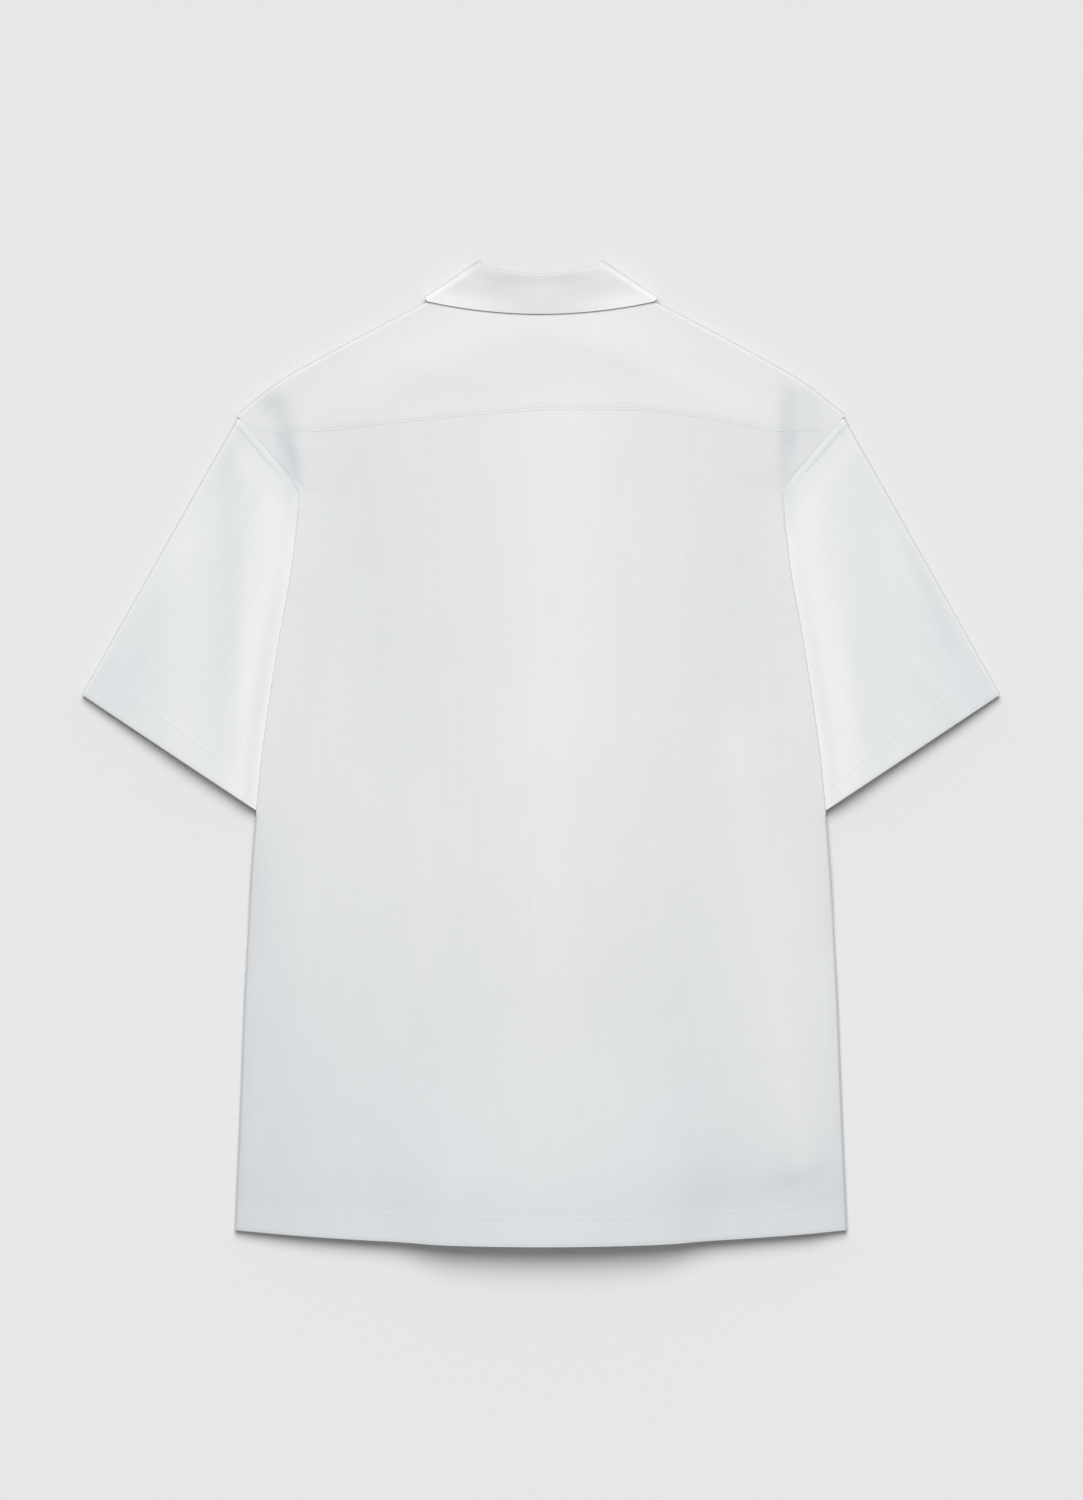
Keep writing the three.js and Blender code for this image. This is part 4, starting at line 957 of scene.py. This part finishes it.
def collar_section(neck, roll, edge, radius, lie, bend=None, rest=None):
    """From the neck seam round the roll to the outer edge, as rows of points."""
    neck, roll, edge = (np.array(p, dtype=float) for p in (neck, roll, edge))
    away = roll[:2] - (neck[:2] + edge[:2]) / 2
    away = away / np.linalg.norm(away)
    centre = np.array([*(roll[:2] - away * radius), roll[2]])

    def turn(angle):
        flat = centre[:2] + away * radius * math.cos(angle)
        return np.array([*flat, centre[2] + lie * radius * math.sin(angle)])

    points = [mix(neck, turn(-math.pi / 2), share) for share in spread(0, 0.9, 0.15)]
    points += [turn(math.radians(angle)) for angle in spread(-90, 90, 15)]
    start = turn(math.pi / 2)
    for share in spread(0.04, 1, 0.04):
        straight = mix(start, edge, share)
        if bend and share < 1:
            knee = mix(start[:2], bend["point"], min(1, share / bend["at"]))
            if share >= bend["at"]:
                knee = mix(bend["point"], edge[:2], (share - bend["at"]) / (1 - bend["at"]))
            straight[:2] = mix(straight[:2], knee, bend["share"])
        z = mix(start[2], edge[2], ease(share, 0.02, 0.8))
        if rest:
            z = max(z, rest(straight[0], straight[1]))
        points.append(np.array([straight[0], straight[1], z]))
    return np.array(points)


def collar_side(side):
    def on_yoke(x, y):
        return float(back_height(side * x, y, small=False)) + 0.2 + SHELL

    over = []
    for a in spans((0, 0.9, 0.03), (0.92, 1, 0.02)):
        neck_x = (NECK_HALF - NECK_GAP) * a
        edge = (FALL["reach"] * a, FALL["edge_y"] + FALL["rise"] * a**1.9)
        neck_end = float(neck_y(neck_x)) + NECK_GAP / 2
        far_y = float(shoulder_y(NECK_HALF)) - (FOLD_TOP - COLLAR_LIFT) / 2
        reach_y = mix(neck_end, far_y, ease(a, 0.7, 1))
        neck_z = mix(float(back_height(side * neck_x, neck_y(neck_x))), FOLD_TOP, ease(a, 0.6, 1))
        roll_z = read(ROLL_HEIGHT, "z", a) - ROLL["radius"]
        edge_z = mix(on_yoke(*edge), FALL["turn_top"], ease(a, 0.8, 1))
        neck = (neck_x, reach_y, neck_z - SHELL)
        roll = (ROLL["reach"] * a, ROLL["back_y"] + ROLL["rise"] * a**2, roll_z)
        over.append(collar_section(neck, roll, (*edge, edge_z), ROLL["radius"], 1, rest=on_yoke))
    gorge = mix(BREAK_HIGH, LAPEL_TIP, GORGE_SHARE) + np.array([1.2, 1.0])
    radius = (SHELL + COLLAR_LIFT + 0.3) / 2
    below = []
    for b in spread(0, 1, 0.05):
        neck = (mix(NECK_HALF - NECK_GAP, 58, b**1.5), mix(over[-1][0][1], 341.5, b), 2 * radius)
        roll_x = mix(ROLL["reach"], BREAK_HIGH[0] - 1.5, b)
        roll_y = mix(ROLL["back_y"] + ROLL["rise"], BREAK_HIGH[1] + 2.2, b)
        edge_x = mix(FALL["reach"], LEAF_TIP[0], b**1.4)
        edge_y = mix(FALL["edge_y"] + FALL["rise"], LEAF_TIP[1], b)
        bend = {"at": 0.4, "share": b**2, "point": gorge}
        below.append(collar_section(neck, (roll_x, roll_y, radius), (edge_x, edge_y, 0), radius, -1, bend))
    turned = []
    for angle in np.radians(spread(78, -78, 12)):
        upper, lower = over[-1], below[0]
        height = np.abs(upper[:, 2] - lower[:, 2]) / 2
        way = np.tile(np.array(COLLAR_TURN), (len(upper), 1))
        way[0] = (0, 1)
        section = mix(lower, upper, (1 + math.sin(angle)) / 2)
        section[:, :2] += way * (height * math.cos(angle))[:, None]
        turned.append(section)
    return np.array(over + turned + below) * (side, 1, 1)


def make_collar():
    left, right = collar_side(-1), collar_side(1)
    grid = np.concatenate([left[:0:-1], right])
    # Painted shade of the collar: darker down its middle and in a band under its roll, most on the wearer's
    # left
    share = np.linspace(0, 1, grid.shape[1])[None, :]
    x = grid[..., 0]
    band = hump(share, 0.44, 0.11) * mix(1.0, 0.3, ease(x, -48, 50)) * (1 - ease(np.abs(x), 46, 66))
    painted_shade = 0.1 + 0.72 * hump(x, -2, 58) + 0.75 * band
    return cloth_panel(
        "collar_fused", grid, collar_poplin, thick=SHELL, facing=-1, painted_shade=painted_shade
    )


collar_fused = make_collar()
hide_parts("collar")

# %% [markdown]
# ## The lapels
#
# A camp collar's lapels are the fronts' facings, turned out. Each is a flat four-sided leaf that
# rolls over at the fold line into the front above it.


# %% Make the lapels
LAPEL_CUT = 2.0  # each leaf starts this far from the centre, so the two don't touch
LAPEL_ROLL = 1.35


def make_lapel(side, name):
    on_break = mix(BREAK_LOW, BREAK_HIGH, (LAPEL_CUT - BREAK_LOW[0]) / (BREAK_HIGH[0] - BREAK_LOW[0]))
    on_edge = mix(BREAK_LOW, LAPEL_TIP, (LAPEL_CUT - BREAK_LOW[0]) / (LAPEL_TIP[0] - BREAK_LOW[0]))
    far = BREAK_HIGH + np.array([-0.5, -1.0])
    along = (BREAK_HIGH - BREAK_LOW) / np.linalg.norm(BREAK_HIGH - BREAK_LOW)
    outward = np.array([-along[1], along[0]])
    rows = []
    for v in spread(0, 1, 0.03):
        low, high = mix(on_edge, LAPEL_TIP, v), mix(on_break, far, v)
        leaf = [(*mix(low, high, u), 0.0) for u in spread(0, 1, 0.04)]
        for angle in np.radians(spread(15, 180, 15)):
            flat = high + outward * LAPEL_ROLL * math.sin(angle)
            leaf.append((*flat, LAPEL_ROLL * (1 - math.cos(angle))))
        rows.append(leaf)
    return cloth_panel(name, np.array(rows) * (side, 1, 1), body_poplin, facing=-side)


for side, which in SIDE_NAMES.items():
    leaf = make_lapel(side, f"lapel_{which}_leaf")
    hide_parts(f"lapel_{which}")

# %% [markdown]
# ## The stitching
#
# The hems, the yoke and the plackets are topstitched in white spun polyester thread, about ten
# stitches to 30 mm. Each stitch is a small rounded bar, half sunk in the cloth. One mesh holds a
# seam's stitches. The thread is a little thicker here than its real 0.25 mm, so that it shows. It
# is spun from short fibres, so it is soft and dull beside a filament thread, with no shine.

# %% Polyester thread
STITCH_PITCH, STITCH_LENGTH, THREAD = 3.1, 2.3, 0.36
STITCH_STANDS = 0.12  # how far a stitch's middle stands off the cloth, as a share of its thickness
STITCH_ENDS = ((0, 0.45), (0.2, 1), (0.8, 1), (1, 0.45))  # shares of its length, and of its thickness
SATIN_ENDS = ((0, 0.5), (0.1, 1), (0.9, 1), (1, 0.5))

thread, _ = new_material(
    "white_spun_polyester_thread", Base_Color=linear("#DFE2E4"), Roughness=0.6, Sheen_Weight=0.15
)


# %% Sew a seam
def ways_of(start, end):
    """The directions along a short straight line, across it, and up from it."""
    along = (end - start) / np.linalg.norm(end - start)
    across = np.cross(along, (0, 0, 1.0))
    across /= np.linalg.norm(across)
    return along, across, np.cross(across, along)


def bars(name, lines, thick, sides=8, blunt=SATIN_ENDS):
    """Straight bars of thread with blunt ends, between pairs of points."""
    points, faces = [], []
    for line in lines:
        start, end = np.array(line, dtype=float)
        _, across, lifted = ways_of(start, end)
        first = len(points)
        for share, full in blunt:
            for turn in 2 * math.pi * np.arange(sides) / sides:
                way = across * math.cos(turn) + lifted * math.sin(turn)
                points.append(mix(start, end, share) + way * thick / 2 * full)
        for k in range(len(blunt) - 1):
            for j in range(sides):
                a, b = first + sides * k + j, first + sides * k + (j + 1) % sides
                faces.append((a, b, b + sides, a + sides))
        faces.append(tuple(range(first + sides - 1, first - 1, -1)))
        faces.append(tuple(range(first + (len(blunt) - 1) * sides, first + len(blunt) * sides)))
    print(name, "has", len(lines), "stitches")
    return new_piece(name, points, faces, thread, sharp=False)


def sew(name, lines, up=1):
    """Stitches along lines of points in millimetres. up is 1 on upper faces and -1 on lower ones."""
    stitches = []
    for line in lines:
        line = np.array(line, dtype=float)
        far = np.concatenate([[0], np.cumsum(np.linalg.norm(np.diff(line, axis=0), axis=1))])
        for begin in np.arange(STITCH_PITCH, far[-1] - STITCH_PITCH, STITCH_PITCH):
            both = np.array([begin, begin + STITCH_LENGTH])
            start, end = np.stack([np.interp(both, far, line[:, k]) for k in range(3)], axis=-1)
            along, _, lifted = ways_of(start, end)
            middle = (start + end) / 2 + up * lifted * THREAD * STITCH_STANDS
            half = along * STITCH_LENGTH / 2
            stitches.append((middle - half, middle + half))
    return bars(name, stitches, THREAD, sides=6, blunt=STITCH_ENDS)


def over_back(x, y, rise=0.0):
    return np.stack([x, y, back_height(x, y) + rise], axis=-1)


across_hem = np.linspace(-233, 233, 200)
hem_line = over_back(across_hem, hem_y(across_hem) + HEM_STITCH)
across_yoke = np.linspace(-221, 221, 200)
yoke_line = over_back(across_yoke, yoke_seam_y(across_yoke) + 1.6, YOKE_PROUD)
sew("hem_and_yoke_stitches", [hem_line, yoke_line])


def sleeve_lines(side):
    """The stitch lines of one sleeve: along its cuff, and beside the armhole's upper end."""
    cuff_t, armhole_t = 1 - HEM_STITCH / SLEEVE_LENGTH, 5.0 / SLEEVE_LENGTH
    cuff = [sleeve_top(side, cuff_t, sleeve_share(cuff_t, column)) for column in spread(0.01, 0.985, 0.03)]
    armhole = [sleeve_top(side, armhole_t, q) for q in spread(0.03, 0.36, 0.02)]
    return [np.array(cuff) * (side, 1, 1), np.array(armhole) * (side, 1, 1)]


sew("cuff_and_armhole_stitches", sleeve_lines(-1) + sleeve_lines(1))


def under_front(side, out, y):
    return np.stack([side * out, y, front_lift(np.abs(out), y, side > 0)], axis=-1)


placket_y = np.linspace(-378, 232, 160)
placket_lines = [under_front(-1, np.full(160, out), placket_y) for out in (-12.6, 12.6)]
across_front = np.linspace(-12, 232, 120)
front_hem_lines = [under_front(side, across_front, hem_y(across_front) + HEM_STITCH) for side in SIDE_NAMES]
sew("front_stitches", placket_lines + front_hem_lines, up=-1)

# %% [markdown]
# ## The buttons
#
# Six four-hole buttons, 11.5 mm across, are cast in white polyester and turned, with a raised rim
# round a shallow dish. Two crossed pairs of threads hold each to the right front. Polyester is a
# smooth plastic, so it has a sharper highlight than the cloth.

# %% Make the buttons
BUTTON = {"radius": 5.75, "hole": 0.9, "reach": 1.75, "pitch": 96, "top": 231, "count": 6}
BUTTON_YS = [BUTTON["top"] - k * BUTTON["pitch"] for k in range(BUTTON["count"])]
RIM_WIDTH, DISH, ROUNDING = 1.3, 0.55, 0.25
CROSS_THREAD, CROSS_BESIDE = 0.42, 0.22  # the thread's thickness, and half the gap between a pair

polyester, _ = new_material("cast_polyester_button", Base_Color=linear("#F1EFE8"), Roughness=0.3, IOR=1.54)


def disc_with_holes():
    """A dished plate with its four holes, from a flat outline that is thickened and rounded."""
    outline = bpy.data.curves.new("button_outline", "CURVE")
    outline.dimensions = "2D"
    outline.fill_mode = "BOTH"
    outline.extrude = ((BUTTON_THICK - DISH) / 2 - ROUNDING) * MM
    outline.bevel_depth = ROUNDING * MM
    outline.bevel_resolution = 2
    circles = [(0, 0, BUTTON["radius"] - ROUNDING, 40)]
    for turn in np.radians((45, 135, 225, 315)):
        x, y = BUTTON["reach"] * math.cos(turn), BUTTON["reach"] * math.sin(turn)
        circles.append((x, y, BUTTON["hole"] + ROUNDING * 0.4, 14))
    for x, y, radius, sides in circles:
        loop = outline.splines.new("POLY")
        loop.points.add(sides - 1)
        for k in range(sides):
            turn = 2 * math.pi * k / sides
            loop.points[k].co = ((x + radius * math.cos(turn)) * MM, (y + radius * math.sin(turn)) * MM, 0, 1)
        loop.use_cyclic_u = True
    shaped = bpy.data.objects.new("button_outline", outline)
    bpy.context.collection.objects.link(shaped)
    bpy.context.view_layer.update()
    mesh = bpy.data.meshes.new_from_object(shaped.evaluated_get(bpy.context.evaluated_depsgraph_get()))
    bpy.data.objects.remove(shaped)
    points = np.array([v.co for v in mesh.vertices]) / MM
    points[:, 2] += DISH + (BUTTON_THICK - DISH) / 2
    faces = [tuple(p.vertices) for p in mesh.polygons]
    bpy.data.meshes.remove(mesh)
    return points, faces


def ring_band(inner, outer, low, high, sides=40, section=10):
    """A ring between two radii and two heights, with an oval section."""
    points, faces = [], []
    for k in range(sides):
        turn = 2 * math.pi * k / sides
        for j in range(section):
            around = 2 * math.pi * j / section
            radius = (inner + outer) / 2 + (outer - inner) / 2 * math.cos(around)
            z = (low + high) / 2 + (high - low) / 2 * math.sin(around)
            points.append((radius * math.cos(turn), radius * math.sin(turn), z))
            a, b = k * section + j, k * section + (j + 1) % section
            c, d = ((k + 1) % sides) * section + (j + 1) % section, ((k + 1) % sides) * section + j
            faces.append((a, d, c, b))
    return np.array(points), faces


disc_points, button_faces = disc_with_holes()
rim_points, rim_faces = ring_band(BUTTON["radius"] - RIM_WIDTH, BUTTON["radius"], 0.0, 2 * DISH)
button_points = np.concatenate([disc_points, rim_points])
button_faces += [tuple(v + len(disc_points) for v in face) for face in rim_faces]
crosses = []
reach = BUTTON["reach"] * math.cos(math.radians(45)) + 0.3
for k, y in enumerate(BUTTON_YS):
    points = button_points + (0, y, 0)
    cast_button = new_piece(f"cast_button_{k + 1}", points, button_faces, polyester)
    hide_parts(f"button_{k + 1}")
    for slant in (1, -1):
        z = DISH - 0.12 - 0.1 * (slant > 0)
        for beside in (-CROSS_BESIDE, CROSS_BESIDE):
            ends = [(beside + end * reach, y + slant * (end * reach - beside), z) for end in (-1, 1)]
            crosses.append(ends)
print("Buttons:", BUTTON["count"], "with", len(button_faces), "faces each")

# %% [markdown]
# ### Their threads and buttonholes
#
# The crossed pairs run between the holes of each button. Each buttonhole is a narrow ring of
# close satin stitches, upright on the left front's placket, and its ends show past the button.

# %% Make the threads and buttonholes
bars("button_threads", crosses, CROSS_THREAD)

HOLE_LENGTH, HOLE_WIDTH, SLIT, SATIN, SATIN_THREAD = 14.0, 2.6, 0.3, 0.5, 0.46
satin = []
for y in BUTTON_YS:
    z = float(front_lift(0.0, y, False))
    for side in SIDE_NAMES:
        for along in spread(-HOLE_LENGTH / 2, HOLE_LENGTH / 2, SATIN):
            satin.append([(side * SLIT / 2, y + along, z), (side * HOLE_WIDTH / 2, y + along, z)])
    for end in (-1, 1):
        for beyond in (0.3, 0.7):
            end_y = y + end * (HOLE_LENGTH / 2 + beyond)
            satin.append([(-HOLE_WIDTH / 2, end_y, z), (HOLE_WIDTH / 2, end_y, z)])
bars("buttonholes", satin, SATIN_THREAD)

# %% [markdown]
# ## The table
#
# The shirt lies on a plain pale table or board with a matt painted face. Such paint scatters the
# light every way, so it takes soft shadows and mirrors nothing.

# %% Make the table
BOARD_HALF, BOARD_DROP = 6, 0.0004  # metres
board, _ = new_material(
    "matt_painted_board", Base_Color=linear("#E6E6E6"), Roughness=0.95, Specular_IOR_Level=0.1
)
corners = [(x * BOARD_HALF, y * BOARD_HALF, 0) for x, y in ((-1, -1), (1, -1), (1, 1), (-1, 1))]
floor_mesh = bpy.data.meshes.new("floor")
floor_mesh.from_pydata(corners, [], [(0, 1, 2, 3)])
floor_mesh.materials.append(board)
floor = bpy.data.objects.new("floor", floor_mesh)
floor.location.z = -BOARD_DROP
bpy.context.collection.objects.link(floor)
